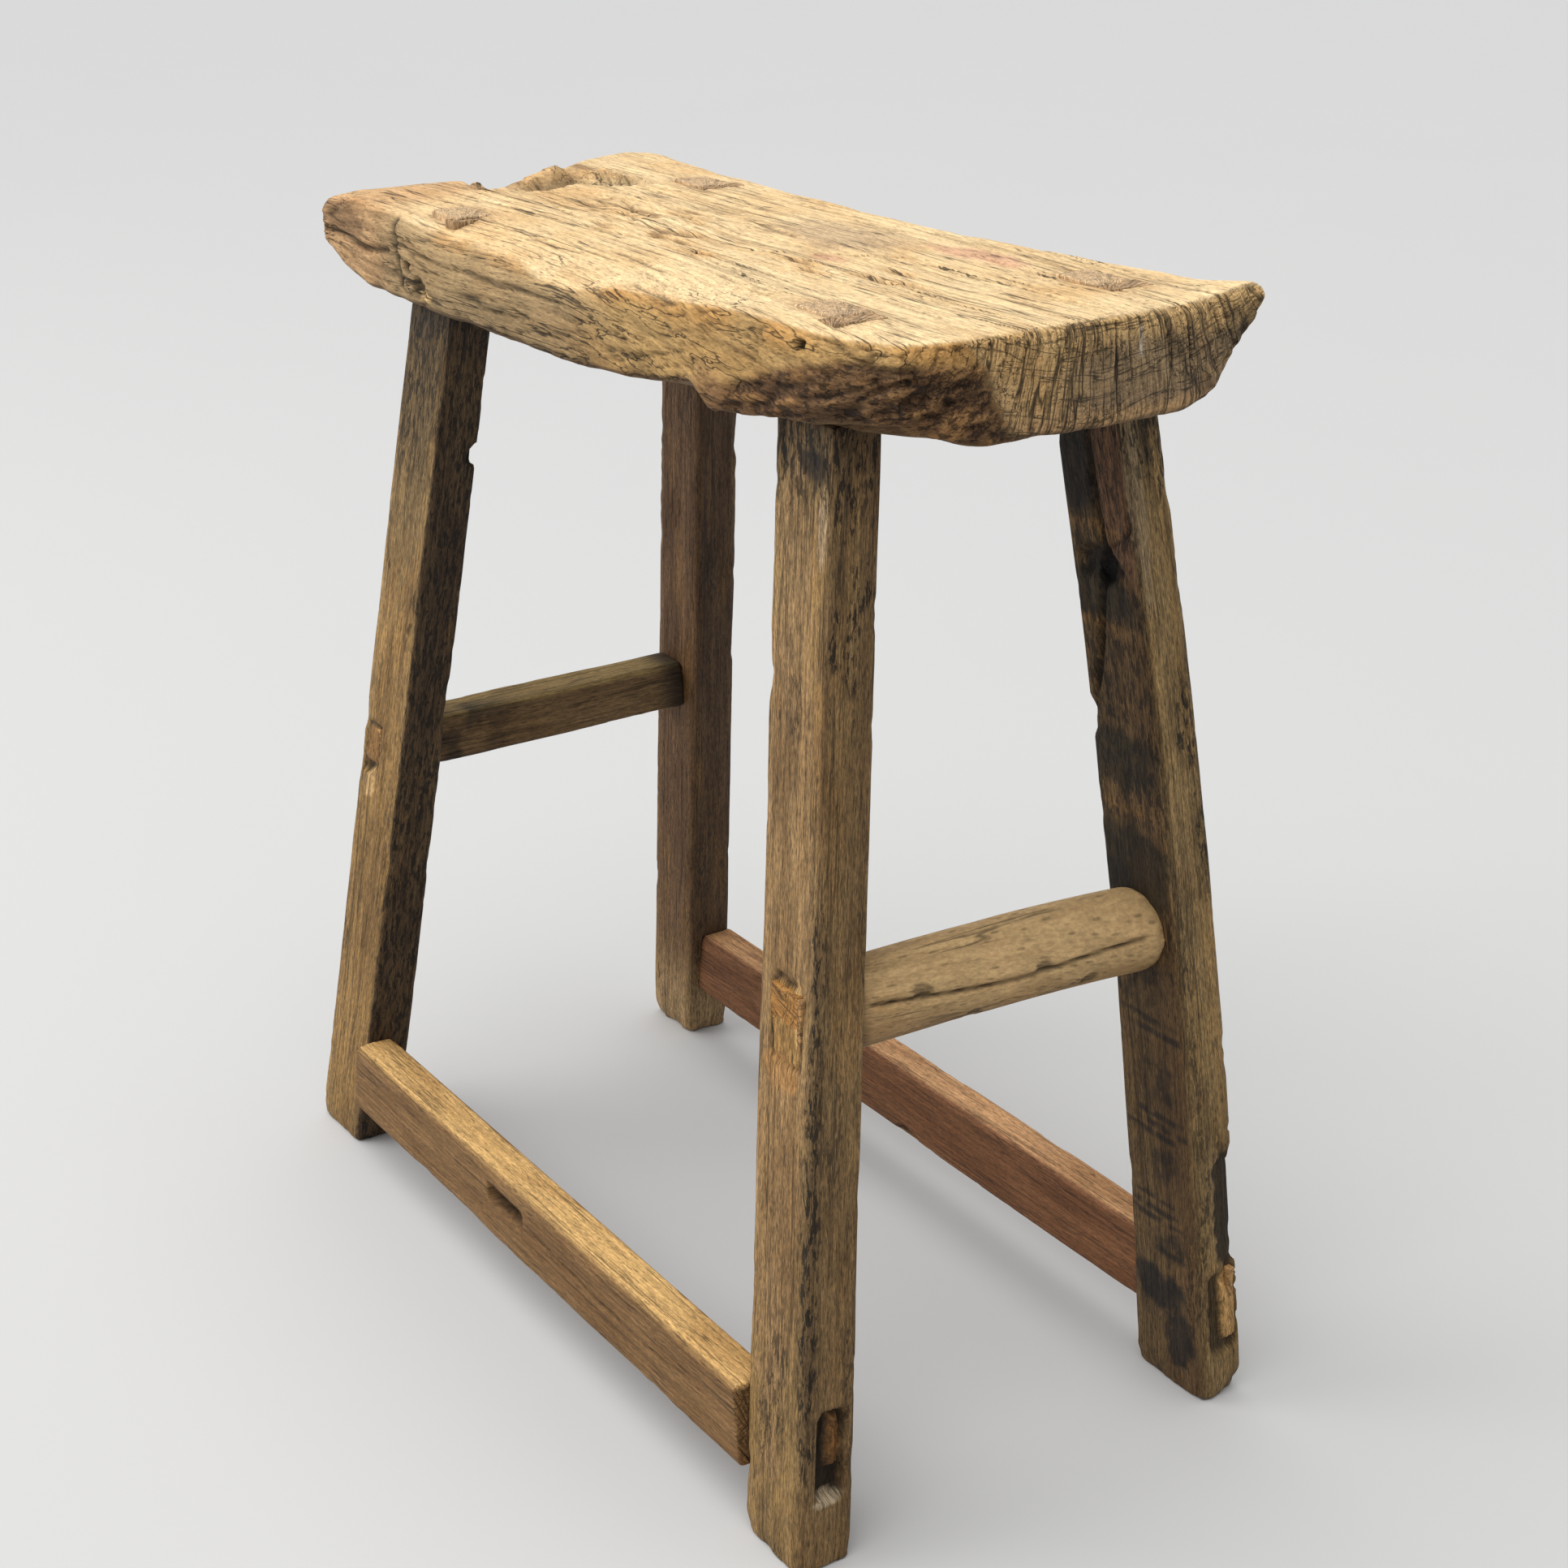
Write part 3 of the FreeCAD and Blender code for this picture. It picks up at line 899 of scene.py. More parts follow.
def pin_blank(length: float, wide: float, deep: float) -> Blank:
    """Lay out the flat bar whose two ends show as tenons."""
    return Blank(length, wide, deep, arris=1.0, step=8.0, around=48, end_round=0.6)


def cad_ring(node: str, top: bool) -> tuple[Array, Array]:
    """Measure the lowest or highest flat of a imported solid.

    Args:
        node: The solid's node.
        top: Whether to measure the highest flat.

    Returns:
        Its middle and its size, in millimetres.
    """
    low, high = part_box(node)
    level = high.z if top else low.z
    data = FRAME["nodes"][node].data
    points = np.array([v.co for v in data.vertices])
    near = points[np.abs(points[:, 2] - level) < 0.4 * MM] / MM
    return (near.min(0) + near.max(0)) / 2, near.max(0) - near.min(0)


def finished(skin: Skin, name: str, material: bpy.types.Material, node: str) -> None:
    """Write a skin as a piece that stands for its solid.

    Args:
        skin: The worked skin.
        name: The piece's name.
        material: Its finish.
        node: The solid it replaces.
    """
    piece = skin.mesh(name, material)
    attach(piece, BODY)
    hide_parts(node)
    LOG.info("%s: %d points, stands for %s", name, len(skin.points), node)


# ---------------------------------------------------------------- legs

OCHRE = paint(176, 128, 66)
PALE = paint(206, 170, 118)
# soot black: real mould stains, and also painted shade under the board, in cracks and at joints
SOOT_AND_SHADE = paint(34, 28, 24)
UMBER = paint(84, 60, 38)
GOLD = paint(190, 145, 82)


@dataclass
class Leg:
    """A splayed square leg with a tenon that comes up through the board."""

    node: str
    wide: float
    deep: float
    bow: float = 0.0
    taper: float = 0.09
    height: float = 471.0
    hidden: float = 5.0
    seed: int = 3
    heart: Pair = (70.0, -46.0)
    base: Triple = (158, 130, 86)
    tenon: Pair = (28.0, 20.0)

    def __post_init__(self) -> None:
        """Read the leg's line from its solid."""
        self.foot, _ = cad_ring(self.node, top=False)
        self.top, _ = cad_ring(self.node, top=True)
        self.blank = Blank(self.height + self.hidden, self.wide, self.deep, arris=2.8)

    def middle(self, level: Array | float) -> tuple[Array, Array]:
        """Find the middle of the leg at a level.

        Args:
            level: Height above the floor.

        Returns:
            The x and y of the middle.
        """
        share = (level - self.foot[2]) / (self.top[2] - self.foot[2])
        rise = np.clip(level / self.height, 0.0, 1.0)
        x = self.foot[0] + (self.top[0] - self.foot[0]) * share
        y = self.foot[1] + (self.top[1] - self.foot[1]) * share
        return x + 4.0 * self.bow * rise * (1.0 - rise), y

    def size_at(self, level: Array | float) -> Array | float:
        """Give the section's scale at a level, thinner towards the top."""
        return 1.0 + self.taper * (0.5 - level / self.height)

    def placed(self, blank: Blank, base: float) -> Array:
        """Stand a blank on the leg's line.

        Args:
            blank: The blank.
            base: Height of its first station.

        Returns:
            Where its points lie.
        """
        level = blank.station + base
        x, y = self.middle(level)
        size = self.size_at(level)
        return np.column_stack([x + blank.u * size, y + blank.v * size, level])

    def build(self, board: Seat) -> None:
        """Work the leg and write it.

        Args:
            board: The board its tenon comes up through.
        """
        skin = self.blank.skin(self.placed(self.blank, 0.0), self.heart, paint(*self.base))
        self.weather(skin)
        self.marks(skin, self.blank.side(Side.MINUS_V, 5), self.blank.side(Side.PLUS_U, 6))
        skin.points[:, 2] = np.maximum(skin.points[:, 2], 0.0)
        tenon = self.tenon_skin(board)
        finished(
            joined([skin, tenon]), f"{self.node}_timber", LEG_WOOD.material(), self.node
        )

    def tenon_skin(self, board: Seat) -> Skin:
        """Work the tenon that shows on top of the board.

        Args:
            board: The board.

        Returns:
            Its skin.
        """
        base = self.height - 8.0
        flush = float(board.top_level(float(self.top[0]), float(self.top[1]))) + TENON_PROUD
        blank = Blank(flush - base, *self.tenon, arris=1.2, step=6.0, around=72, end_round=0.8)
        skin = blank.skin(self.placed(blank, base), self.heart, paint(222, 190, 150))
        skin.push(0.4 * skin.clouds(8.0, self.seed, 2) * skin.ends)
        skin.colour(0.4 * smooth(0.0, 0.5, skin.clouds(12.0, self.seed + 1)), paint(168, 140, 118))
        skin.ends = 0.35 * skin.ends
        return skin

    def weather(self, skin: Skin) -> None:
        """Wear every side of the leg: arrises, fibres, waves and stains, with painted shade in its
        cracks, on its lower part and under the board.

        Args:
            skin: The leg's skin.
        """
        blank = self.blank
        skin.push(0.55 * blank.waves(70, 40, self.seed))
        corner = blank.corners(0.62, 0.55, 0.95)
        chips = np.clip(skin.clouds(16.0, self.seed + 3), 0.0, 1.0)
        skin.push(-(0.5 + 2.6 * chips**1.5) * corner)
        skin.push(0.33 * skin.fibres(45.0, 2.6, self.seed + 9))
        self.wear_foot(skin, smooth(10.0, 0.0, blank.station), 1.3)
        cracks = skin.fibres(70.0, 3.4, self.seed + 31, 2)
        crack = smooth(0.06, 0.0, np.abs(cracks - 0.1))
        crack = crack * smooth(0.1, 0.4, skin.clouds(34.0, self.seed + 37))
        skin.push(-0.8 * crack)
        # painted shade inside the cracks
        skin.shade(crack, 0.45)
        skin.colour(0.55 * smooth(-0.1, 0.7, skin.fibres(90.0, 12.0, self.seed + 41)), UMBER)
        skin.colour(0.35 * smooth(0.0, 0.6, skin.fibres(60.0, 9.0, self.seed + 43)), GOLD)
        skin.soot = 0.8 * smooth(0.05, 0.5, skin.fibres(60.0, 16.0, self.seed + 47))
        skin.colour(0.3 * skin.soot, SOOT_AND_SHADE)
        skin.colour(0.35 * corner * smooth(-0.2, 0.5, skin.clouds(30.0, self.seed + 51)), PALE)
        # painted shade with a warm floor-bounce tint, stronger towards the foot
        skin.colour(0.4 * smooth(280.0, 20.0, blank.station), paint(128, 98, 54))
        # painted shade on the leg's top, under the board
        head = smooth(self.height - 34, self.height, blank.station)
        skin.colour(0.6 * head, SOOT_AND_SHADE)
        skin.smoke(smooth(self.height - 60, self.height - 10, blank.station))

    def wear_foot(self, skin: Skin, share: Array, depth: float) -> None:
        """Draw the foot in sideways, unevenly.

        Args:
            skin: The leg's skin.
            share: Strength at each point, 0 to 1.
            depth: How far, in millimetres.
        """
        blank = self.blank
        uneven = np.clip(depth * (1.0 + 1.2 * skin.clouds(12.0, self.seed + 21)), 0.0, 3 * depth)
        skin.points[:, 0] -= share * uneven * blank.u * 2 / self.wide
        skin.points[:, 1] -= share * uneven * blank.v * 2 / self.deep

    def marks(self, skin: Skin, front: Face, right: Face) -> None:
        """Add what only this leg has; each leg says its own."""

    def tenon_mark(
        self, skin: Skin, side: Side, level: float, across: float, tall: float, broad: float,
        tone: Array = OCHRE,
    ) -> None:
        """Show the end of a rail's tenon, with a sunk gap round it darkened with painted shade.

        Args:
            skin: The leg's skin.
            side: The side it shows on.
            level: Its middle height.
            across: Its middle across the side.
            tall: Its height.
            broad: Its width.
            tone: The tone of its end.
        """
        face = self.blank.side(side, self.seed)
        outer = face.spot(level, across, tall / 2 + 1.6, broad / 2 + 1.3, 0.07, 8.0, 0.12, 5.0)
        inner = face.spot(level, across, tall / 2 - 0.6, broad / 2 - 0.4, 0.1, 8.0, 0.12, 5.0)
        gap = np.clip(outer - inner, 0.0, 1.0)
        skin.colour(inner * 0.9, tone)
        # painted shade in the gap round the tenon end
        skin.cut(gap, 1.8, 0.3)
        skin.push(-0.5 * inner * (1.0 + skin.clouds(4.0, self.seed + 61)))


class FrontLeftLeg(Leg):
    """The golden leg under the tongue."""

    def marks(self, skin: Skin, front: Face, right: Face) -> None:
        """Add the dark head, the nick, the side rail's tenon end, and painted shade with mould on the
        inner right side.

        Args:
            skin: The leg's skin.
            front: Its front side.
            right: Its right side.
        """
        skin.colour(0.75 * front.spot(150, 2, 170, 22, 0.3), paint(154, 120, 70))
        skin.colour(0.5 * front.spot(440, 0, 60, 26, 0.5, soft=1.2, grit=30), SOOT_AND_SHADE)
        skin.smoke(0.9 * front.spot(440, 0, 60, 26, 0.6, soft=1.2, grit=30))
        # painted shade on the inner right side, turned away from the light under the board
        skin.colour(0.78 * right.share, paint(62, 46, 32))
        back = self.blank.side(Side.PLUS_V, 7)
        nick = right.spot(397, 11, 5, 5, 0.4) + back.spot(397, 18, 5, 6, 0.4)
        skin.cut(np.clip(nick, 0, 1), 3.2, 0.4)
        self.tenon_mark(skin, Side.MINUS_V, 236.0, -9.0, 22, 14, paint(150, 112, 66))
        self.tenon_mark(skin, Side.MINUS_U, 47.0, -2.0, 34, 12)
        skin.cut(front.spot(222, -9, 3, 7, 0.4), 2.0, 0.4)
        skin.colour(front.spot(214, -8, 9, 5, 0.35), PALE)
        skin.smoke(0.9 * right.share)


class BackLeftLeg(Leg):
    """The dark leg with a pale rounded foot."""

    def marks(self, skin: Skin, front: Face, right: Face) -> None:
        """Darken the back, with painted shade on the inner right side, and show the pale foot.

        Args:
            skin: The leg's skin.
            front: Its front side.
            right: Its right side.
        """
        # painted shade on the inner right side
        skin.colour(0.6 * right.share, paint(76, 58, 42))
        skin.colour(0.6 * front.spot(250, 0, 200, 24, 0.4), paint(114, 84, 56))
        skin.colour(0.75 * smooth(70, 5, self.blank.station), paint(178, 150, 110))
        self.wear_foot(skin, smooth(16, 0, self.blank.station), 0.9)
        self.tenon_mark(skin, Side.MINUS_U, 51.0, 3.5, 34, 12)
        self.tenon_mark(skin, Side.PLUS_V, 236.0, -6.5, 20, 14)


class FrontRightLeg(Leg):
    """The near leg, with both rails' tenons showing."""

    def marks(self, skin: Skin, front: Face, right: Face) -> None:
        """Add both tenon ends, the black streak along the arris, painted shade on the right side and a
        painted highlight beside the arris.

        Args:
            skin: The leg's skin.
            front: Its front side.
            right: Its right side.
        """
        skin.colour(0.6 * front.spot(260, -3, 210, 20, 0.3), paint(160, 128, 90))
        # painted shade on the right side, turned from the light
        skin.colour(0.45 * right.share, paint(110, 84, 58))
        station = self.blank.station
        edge = np.hypot(self.blank.u - self.wide / 2, self.blank.v + self.deep / 2)
        wander = 3.0 * skin.fibres(60.0, 30.0, 71, 2)
        black = smooth(9.0, 2.0, edge + wander) * smooth(330, 250, station) * smooth(20, 60, station)
        skin.colour(0.4 * black, SOOT_AND_SHADE)
        skin.smoke(1.2 * black)
        self.tenon_mark(skin, Side.MINUS_V, 234.0, 0.5, 34, 19, paint(174, 136, 80))
        skin.colour(front.spot(238, 8, 15, 2.2, 0.3), PALE)
        skin.colour(0.8 * front.spot(212, -3, 8, 12, 0.35), paint(184, 138, 84))
        for level, across, tall in ((444, -6, 16), (390, -9, 12), (388, 1, 20), (412, 4, 10)):
            skin.smoke(1.2 * right.spot(level, across, tall, 5, 0.6, soft=0.8, grit=9))
        skin.colour(0.8 * front.spot(459, 8, 6, 9, 0.6, soft=0.6), SOOT_AND_SHADE)
        # painted highlight beside the front-right arris
        skin.colour(0.7 * front.spot(436, 16, 15, 2.6, 0.4, soft=0.6), paint(196, 170, 138))
        low = right.spot(51.0, 1.0, 19, 7.0, 0.12, 6.0, 0.15, 5.0)
        peg = right.spot(57.0, 3.2, 12, 3.2, 0.2, 5.0, 0.2, 4.0)
        skin.cut(np.clip(low - peg, 0, 1), 6.5, 0.12)
        skin.push(-1.6 * peg)
        skin.colour(peg, paint(132, 92, 50))
        skin.colour(right.spot(31.0, 0.0, 2.5, 7.5, 0.3), paint(178, 160, 134))


class BackRightLeg(Leg):
    """The bowed leg with the split edge and smudged inner side."""

    def marks(self, skin: Skin, front: Face, right: Face) -> None:
        """Add painted shade over the inner front side, the split, the black head, the rot and the
        smudges.

        Args:
            skin: The leg's skin.
            front: Its front side.
            right: Its right side.
        """
        station, u, v = self.blank.station, self.blank.u, self.blank.v
        chance = np.random.default_rng(self.seed)
        # painted shade over the front, the inner side under the board
        skin.colour(0.85 * front.share, paint(86, 66, 40))
        skin.colour(0.4 * front.share * smooth(-4, 8, u), paint(104, 76, 46))
        skin.colour(0.9 * front.spot(448, -13, 31, 12, 0.12, 6.0, 0.3), SOOT_AND_SHADE)
        skin.colour(0.85 * front.spot(436, 12, 42, 10, 0.2, 5.0, 0.3), paint(118, 86, 62))
        for level, reach in ((383, 10), (311, 12), (264, 17)):
            band = front.spot(level, -5, reach, 26, 0.3, 4.0, 0.4, 8.0)
            skin.colour(0.75 * band, paint(38, 34, 22))
        for level in (413, 370, 289):
            skin.colour(0.5 * front.spot(level, -6, 2.5, 18, 0.4, soft=0.6), paint(138, 104, 60))
        skin.colour(0.4 * right.share, paint(134, 112, 76))
        skin.colour(0.6 * right.spot(440, -8, 50, 5, 0.3, soft=0.6), paint(156, 138, 112))
        for level, across, tall in ((452, 0, 18), (438, 8, 15), (330, 4, 22), (282, 9, 26)):
            skin.smoke(right.spot(level, across, tall, 5, 0.6, soft=0.7, grit=9))
        skin.colour(0.7 * right.spot(452, 1, 14, 3, 0.5, soft=0.6), SOOT_AND_SHADE)
        skin.smoke(0.8 * front.share * smooth(230, 300, station))
        bite = smooth(-self.wide / 2 + 9, -self.wide / 2 + 1, u) * smooth(336, 330, station)
        bite = bite * smooth(315, 321, station)
        skin.points[:, 0] += 4.0 * bite * (0.75 + 0.5 * skin.clouds(9.0, 91))
        skin.shade(bite, 0.5)
        path = [(330, -18), (352, -11), (378, -5), (394, -1), (404, 2), (425, 0), (470, 1)]
        skin.cut(front.line(path, 5.5), 4.5, 0.1)
        skin.cut(front.spot(398, -3, 7, 12, 0.6, soft=0.5, grit=6), 3.0, 0.14)
        skin.cut(front.line([(404, 3), (414, 18), (420, 21)], 2.6), 1.6, 0.2)
        skin.colour(0.8 * front.spot(252, -15, 10, 10, 0.5, soft=0.5), SOOT_AND_SHADE)
        for level in (191, 185, 143, 138, 133, 98, 92, 87, 71):
            bar = front.spot(level, chance.uniform(-5, 4), 1.5, chance.uniform(13, 19), 0.5, 4.0, 0.5)
            skin.colour(0.85 * bar * smooth(-0.5, 0.0, skin.clouds(5.0, 95 + level, 2)), SOOT_AND_SHADE)
        for level, across, tall, broad in (
            (208, -8, 12, 16), (161, 4, 12, 9), (117, 3, 8, 8), (76, 5, 8, 10), (47, -3, 13, 14),
        ):
            blot = front.spot(level, across, tall, broad, 0.6, 3.0, 0.6, 8.0)
            skin.smoke(0.4 * blot)
            skin.colour(0.6 * blot * smooth(-0.4, 0.2, skin.clouds(5.0, 96, 2)), SOOT_AND_SHADE)
        for level, across, tall, broad in ((50, -5, 12, 15), (25, 7, 14, 9)):
            skin.colour(0.85 * front.spot(level, across, tall, broad, 0.8, 2.5, 0.4, 9.0), SOOT_AND_SHADE)
        back = self.blank.side(Side.PLUS_V, 8)
        rot = right.spot(96, 6, 37, 7, 0.4) + back.spot(96, 17, 37, 9, 0.5)
        skin.cut(np.clip(rot, 0, 1), 2.4, 0.14)
        low = right.spot(46.0, 2.0, 21, 8.5, 0.15, 6.0, 0.15, 5.0)
        peg = right.spot(50.0, 5.0, 17, 4.0, 0.25, 5.0, 0.2, 4.0)
        skin.cut(np.clip(low - peg, 0, 1), 3.0, 0.3)
        skin.colour(peg, paint(190, 150, 96))
        self.wear_foot(skin, smooth(14, 0, station) * smooth(0, 20, v + u * 0.3), 2.6)
        self.tenon_mark(skin, Side.PLUS_V, 233.0, -4.0, 30, 20)


# ---------------------------------------------------------------- rails


class Run(Enum):
    """Which way a rail runs: the order in which its station, u and v fill x, y and z."""

    ALONG_X = (0, 1, 2)
    ALONG_Y = (1, 2, 0)


@dataclass
class Rail:
    """A rail between two legs, with tenons that come out through them."""

    node: str
    run: Run
    legs: tuple[Leg, Leg]
    thick: float
    tall: float
    middle: Pair
    tenon: Triple
    seed: int = 7
    base: Triple = (170, 132, 84)
    heart: Pair = (24.0, -60.0)
    arris: float = 2.2
    shift: Pair = (0.0, 0.0)

    def reach(self, level: Array | float) -> tuple[Array, Array]:
        """Find where the rail meets the inner sides of its legs.

        Args:
            level: Height above the floor.

        Returns:
            The two positions along the run.
        """
        axis = self.run.value[0]
        first, last = self.legs
        half = [leg.size_at(level) * (leg.wide, leg.deep)[axis] / 2 for leg in self.legs]
        return first.middle(level)[axis] + half[0], last.middle(level)[axis] - half[1]

    def placed(self, blank: Blank, middle: Pair, over: float) -> Array:
        """Set a blank between the legs.

        Args:
            blank: The blank.
            middle: Where the section's middle lies: the two other axes.
            over: How far it runs past the inner side of each leg.

        Returns:
            Where its points lie.
        """
        order = self.run.value
        place = np.zeros((len(blank.u), 3))
        place[:, order[1]] = middle[0] + blank.u
        place[:, order[2]] = middle[1] + blank.v
        start, stop = self.reach(place[:, 2])
        start, stop = start - over, stop + over
        place[:, order[0]] = start + (stop - start) * blank.station / blank.length
        return place

    def length(self, over: float) -> float:
        """Give the rail's length at its own level, with over added at both ends."""
        start, stop = self.reach(self.middle[0] if self.run is Run.ALONG_Y else self.middle[1])
        return float(stop - start) + 2 * over

    def build(self) -> None:
        """Work the rail and write it."""
        self.blank = Blank(self.length(0.3), self.thick, self.tall, arris=self.arris, around=92)
        skin = self.blank.skin(
            self.placed(self.blank, self.middle, 0.3), self.heart, paint(*self.base)
        )
        self.weather(skin)
        self.marks(skin)
        through = self.tenon[2]
        blank = pin_blank(self.length(through), self.tenon[0], self.tenon[1])
        place = (self.middle[0] + self.shift[0], self.middle[1] + self.shift[1])
        pins = blank.skin(self.placed(blank, place, through), self.heart, OCHRE)
        finished(
            joined([skin, pins]), f"{self.node}_timber", RAIL_WOOD.material(), self.node
        )

    def weather(self, skin: Skin) -> None:
        """Wear the rail: arrises, raised grain and tone.

        Args:
            skin: The rail's skin.
        """
        blank = self.blank
        corner = blank.corners(0.7, 0.7, 0.97)
        chips = np.clip(skin.clouds(13.0, self.seed + 3), 0.0, 1.0)
        skin.push(-(0.4 + 2.2 * chips**1.5) * corner)
        skin.push(0.8 * blank.waves(60, 30, self.seed))
        skin.push(0.4 * skin.fibres(60.0, 2.4, self.seed + 5))
        skin.colour(0.5 * smooth(-0.1, 0.7, skin.fibres(80.0, 7.0, self.seed + 7)), UMBER)
        skin.colour(0.4 * smooth(0.0, 0.6, skin.fibres(90.0, 6.0, self.seed + 9)), PALE)
        skin.shade(skin.ends, 0.7)

    def marks(self, skin: Skin) -> None:
        """Add what only this rail has; each rail says its own."""


class FrontRail(Rail):
    """The low front rail, worn pale on top, with an old empty mortise."""

    def marks(self, skin: Skin) -> None:
        """Add the pale top, the grey front and the old mortise.

        Args:
            skin: The rail's skin.
        """
        top = self.blank.side(Side.PLUS_V, 3)
        front = self.blank.side(Side.MINUS_U, 4)
        skin.colour(0.85 * top.share, paint(226, 186, 122))
        skin.colour(0.7 * front.share, paint(124, 94, 58))
        start, _ = self.reach(self.middle[1])
        place = -12.0 - float(start)
        skin.cut(front.spot(place, 5.0, 17, 5.5, 0.08, 7.0, 0.12), 10.0, 0.1)
        split = front.line([(place + 15, 4), (place + 120, 0), (place + 170, 3)], 1.8)
        skin.cut(split, 1.5, 0.35)


class BackRail(Rail):
    """The low back rail, redder, with a pale top."""

    def marks(self, skin: Skin) -> None:
        """Add the pale top and the red-brown front.

        Args:
            skin: The rail's skin.
        """
        skin.colour(0.8 * self.blank.side(Side.PLUS_V, 3).share, paint(206, 160, 116))
        skin.colour(0.8 * self.blank.side(Side.MINUS_U, 4).share, paint(114, 70, 46))
        start, _ = self.reach(self.middle[1])
        low = self.blank.side(Side.MINUS_U, 9)
        skin.cut(low.spot(20.0 - float(start), -18, 8, 4, 0.3), 2.0, 0.4)


class LeftRail(Rail):
    """The dark side rail with a worn yellow-green top."""

    def marks(self, skin: Skin) -> None:
        """Darken the sides, wear the top, and paint shadow on the end that goes into the back leg.

        Args:
            skin: The rail's skin.
        """
        skin.colour(0.7, paint(122, 98, 66))
        skin.colour(0.7 * self.blank.side(Side.PLUS_U, 3).share, paint(160, 138, 88))
        patch = smooth(70, 10, self.blank.station) * smooth(-0.1, 0.3, skin.clouds(13.0, 65))
        skin.colour(0.8 * patch, SOOT_AND_SHADE)
        # painted shadow where the rail goes into the back leg
        dark = smooth(self.blank.length - 22, self.blank.length - 4, self.blank.station)
        skin.colour(0.85 * dark, SOOT_AND_SHADE)


# ---------------------------------------------------------------- the board

STRAW = paint(241, 212, 164)
DRIFT = paint(176, 148, 106)
BARK = paint(112, 82, 54)
ROSE = paint(204, 140, 122)
SLATE = paint(92, 84, 78)


@dataclass
class Seat:
    """The thick irregular board, from its outline to its checks and stains."""

    node: str = "seat_plank"
    columns: int = 168
    rows: int = 204
    layers: int = 26
    heart: Pair = (30.0, 675.0)
    arris: float = 5.5
    front_run: tuple = ((-245, -84), (-170, -90), (-93, -92), (57, -88), (157, -79), (198, -60))
    right_run: tuple = ((198, -60), (212, -30), (211, 40), (207, 120))
    back_run: tuple = (
        (-239, 90), (-219, 104), (-143, 98), (-3, 96), (70, 103), (137, 114), (207, 120),
    )
    left_run: tuple = (
        (-245, -84), (-250, -60), (-228, -38), (-205, -23),
        (-178, -21), (-188, 6), (-226, 52), (-239, 90),
    )

    def __post_init__(self) -> None:
        """Read the board's levels from its solid."""
        low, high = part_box(self.node)
        self.under, self.over = low.z / MM, high.z / MM

    def shares(self, count: int, dense: list[Triple]) -> Array:
        """Space lines so that they crowd where detail is.

        Args:
            count: How many lines.
            dense: Middle, reach and strength of each crowded stretch.

        Returns:
            Shares from 0 to 1.
        """
        fine = np.linspace(0.0, 1.0, 4001)
        weight = np.ones_like(fine)
        for middle, reach, strength in dense:
            weight += strength * np.exp(-(((fine - middle) / reach) ** 2))
        run = np.concatenate([[0.0], np.cumsum((weight[1:] + weight[:-1]) / 2)])
        return np.interp(np.linspace(0.0, run[-1], count), run, fine)

    def side_line(self, run: tuple, shares: Array, level: float) -> Array:
        """Read an end of the board, blending even steps with even levels.

        Args:
            run: The end's points from front to back.
            shares: Shares of the end.
            level: How much the even levels count.

        Returns:
            One row for each share.
        """
        curve = curve_through(list(run))
        steps = np.hypot(*np.diff(curve, axis=0).T)
        length = np.concatenate([[0.0], np.cumsum(steps)]) / steps.sum()
        height = np.maximum.accumulate(curve[:, 1])
        height = (height - height[0]) / (height[-1] - height[0]) + 1e-6 * length
        by_level = np.interp(shares, height / height[-1], length)
        return spread(curve, level * by_level + (1 - level) * shares)

    def plan(self) -> Array:
        """Lay the grid of the top between the four runs of the outline.

        Returns:
            The x and y of each column and row.
        """
        heads = [(0.24, 0.035, 1.4), (0.885, 0.035, 1.2)]
        across = self.shares(self.columns, [(0, 0.02, 3), (1, 0.03, 4), *heads])
        depth = self.shares(self.rows, [(0, 0.03, 1.0), (1, 0.02, 0.8)])
        front = self.side_line(self.front_run, across, 0.0)
        back = self.side_line(self.back_run, across, 0.0)
        left = self.side_line(self.left_run, depth, 0.5)
        right = self.side_line(self.right_run, depth, 0.8)
        u, v = across[:, None, None], depth[None, :, None]
        sheet = (1 - v) * front[:, None] + v * back[:, None] + (1 - u) * left[None] + u * right[None]
        sheet = sheet - (1 - u) * (1 - v) * front[0] - u * (1 - v) * front[-1]
        sheet = sheet - (1 - u) * v * back[0] - u * v * back[-1]
        bite = np.exp(-((sheet[..., 0] + 170) ** 2 + (sheet[..., 1] + 22) ** 2) / 20.0**2)
        sheet[..., 1] -= 12.0 * bite
        return sheet

    def inward(self, x: Array | float, y: Array | float) -> Array | float:
        """Give the distance in from the front edge."""
        return np.maximum(y + np.interp(x, [-245, -93, 57, 157, 198], [84, 92, 88, 79, 60]), 0)

    def top_level(self, x: Array | float, y: Array | float) -> Array | float:
        """Give the height of the worn top.

        Args:
            x: Place along the board.
            y: Place across the board.

        Returns:
            The height.
        """
        edge = np.interp(
            x, [-245, -160, -105, -44, -20, 9, 34, 71, 123, 190],
            [513, 510, 507, 506, 502.5, 503.5, 508.5, 511, 515, 512],
        )
        inward = self.inward(x, y)
        level = self.over - (self.over - edge) * np.exp(-((inward / 20.0) ** 1.6))
        level = level - 8.0 * smooth(-195, -250, x) * smooth(10, -20, y)
        level = level + 5.0 * np.exp(-(((x - 210) / 24.0) ** 2)) * np.exp(-(((y - 120) / 24.0) ** 2))
        return level - 1.6 * np.exp(-(((x - 20) / 120.0) ** 2)) * np.exp(-(((y - 5) / 60.0) ** 2))

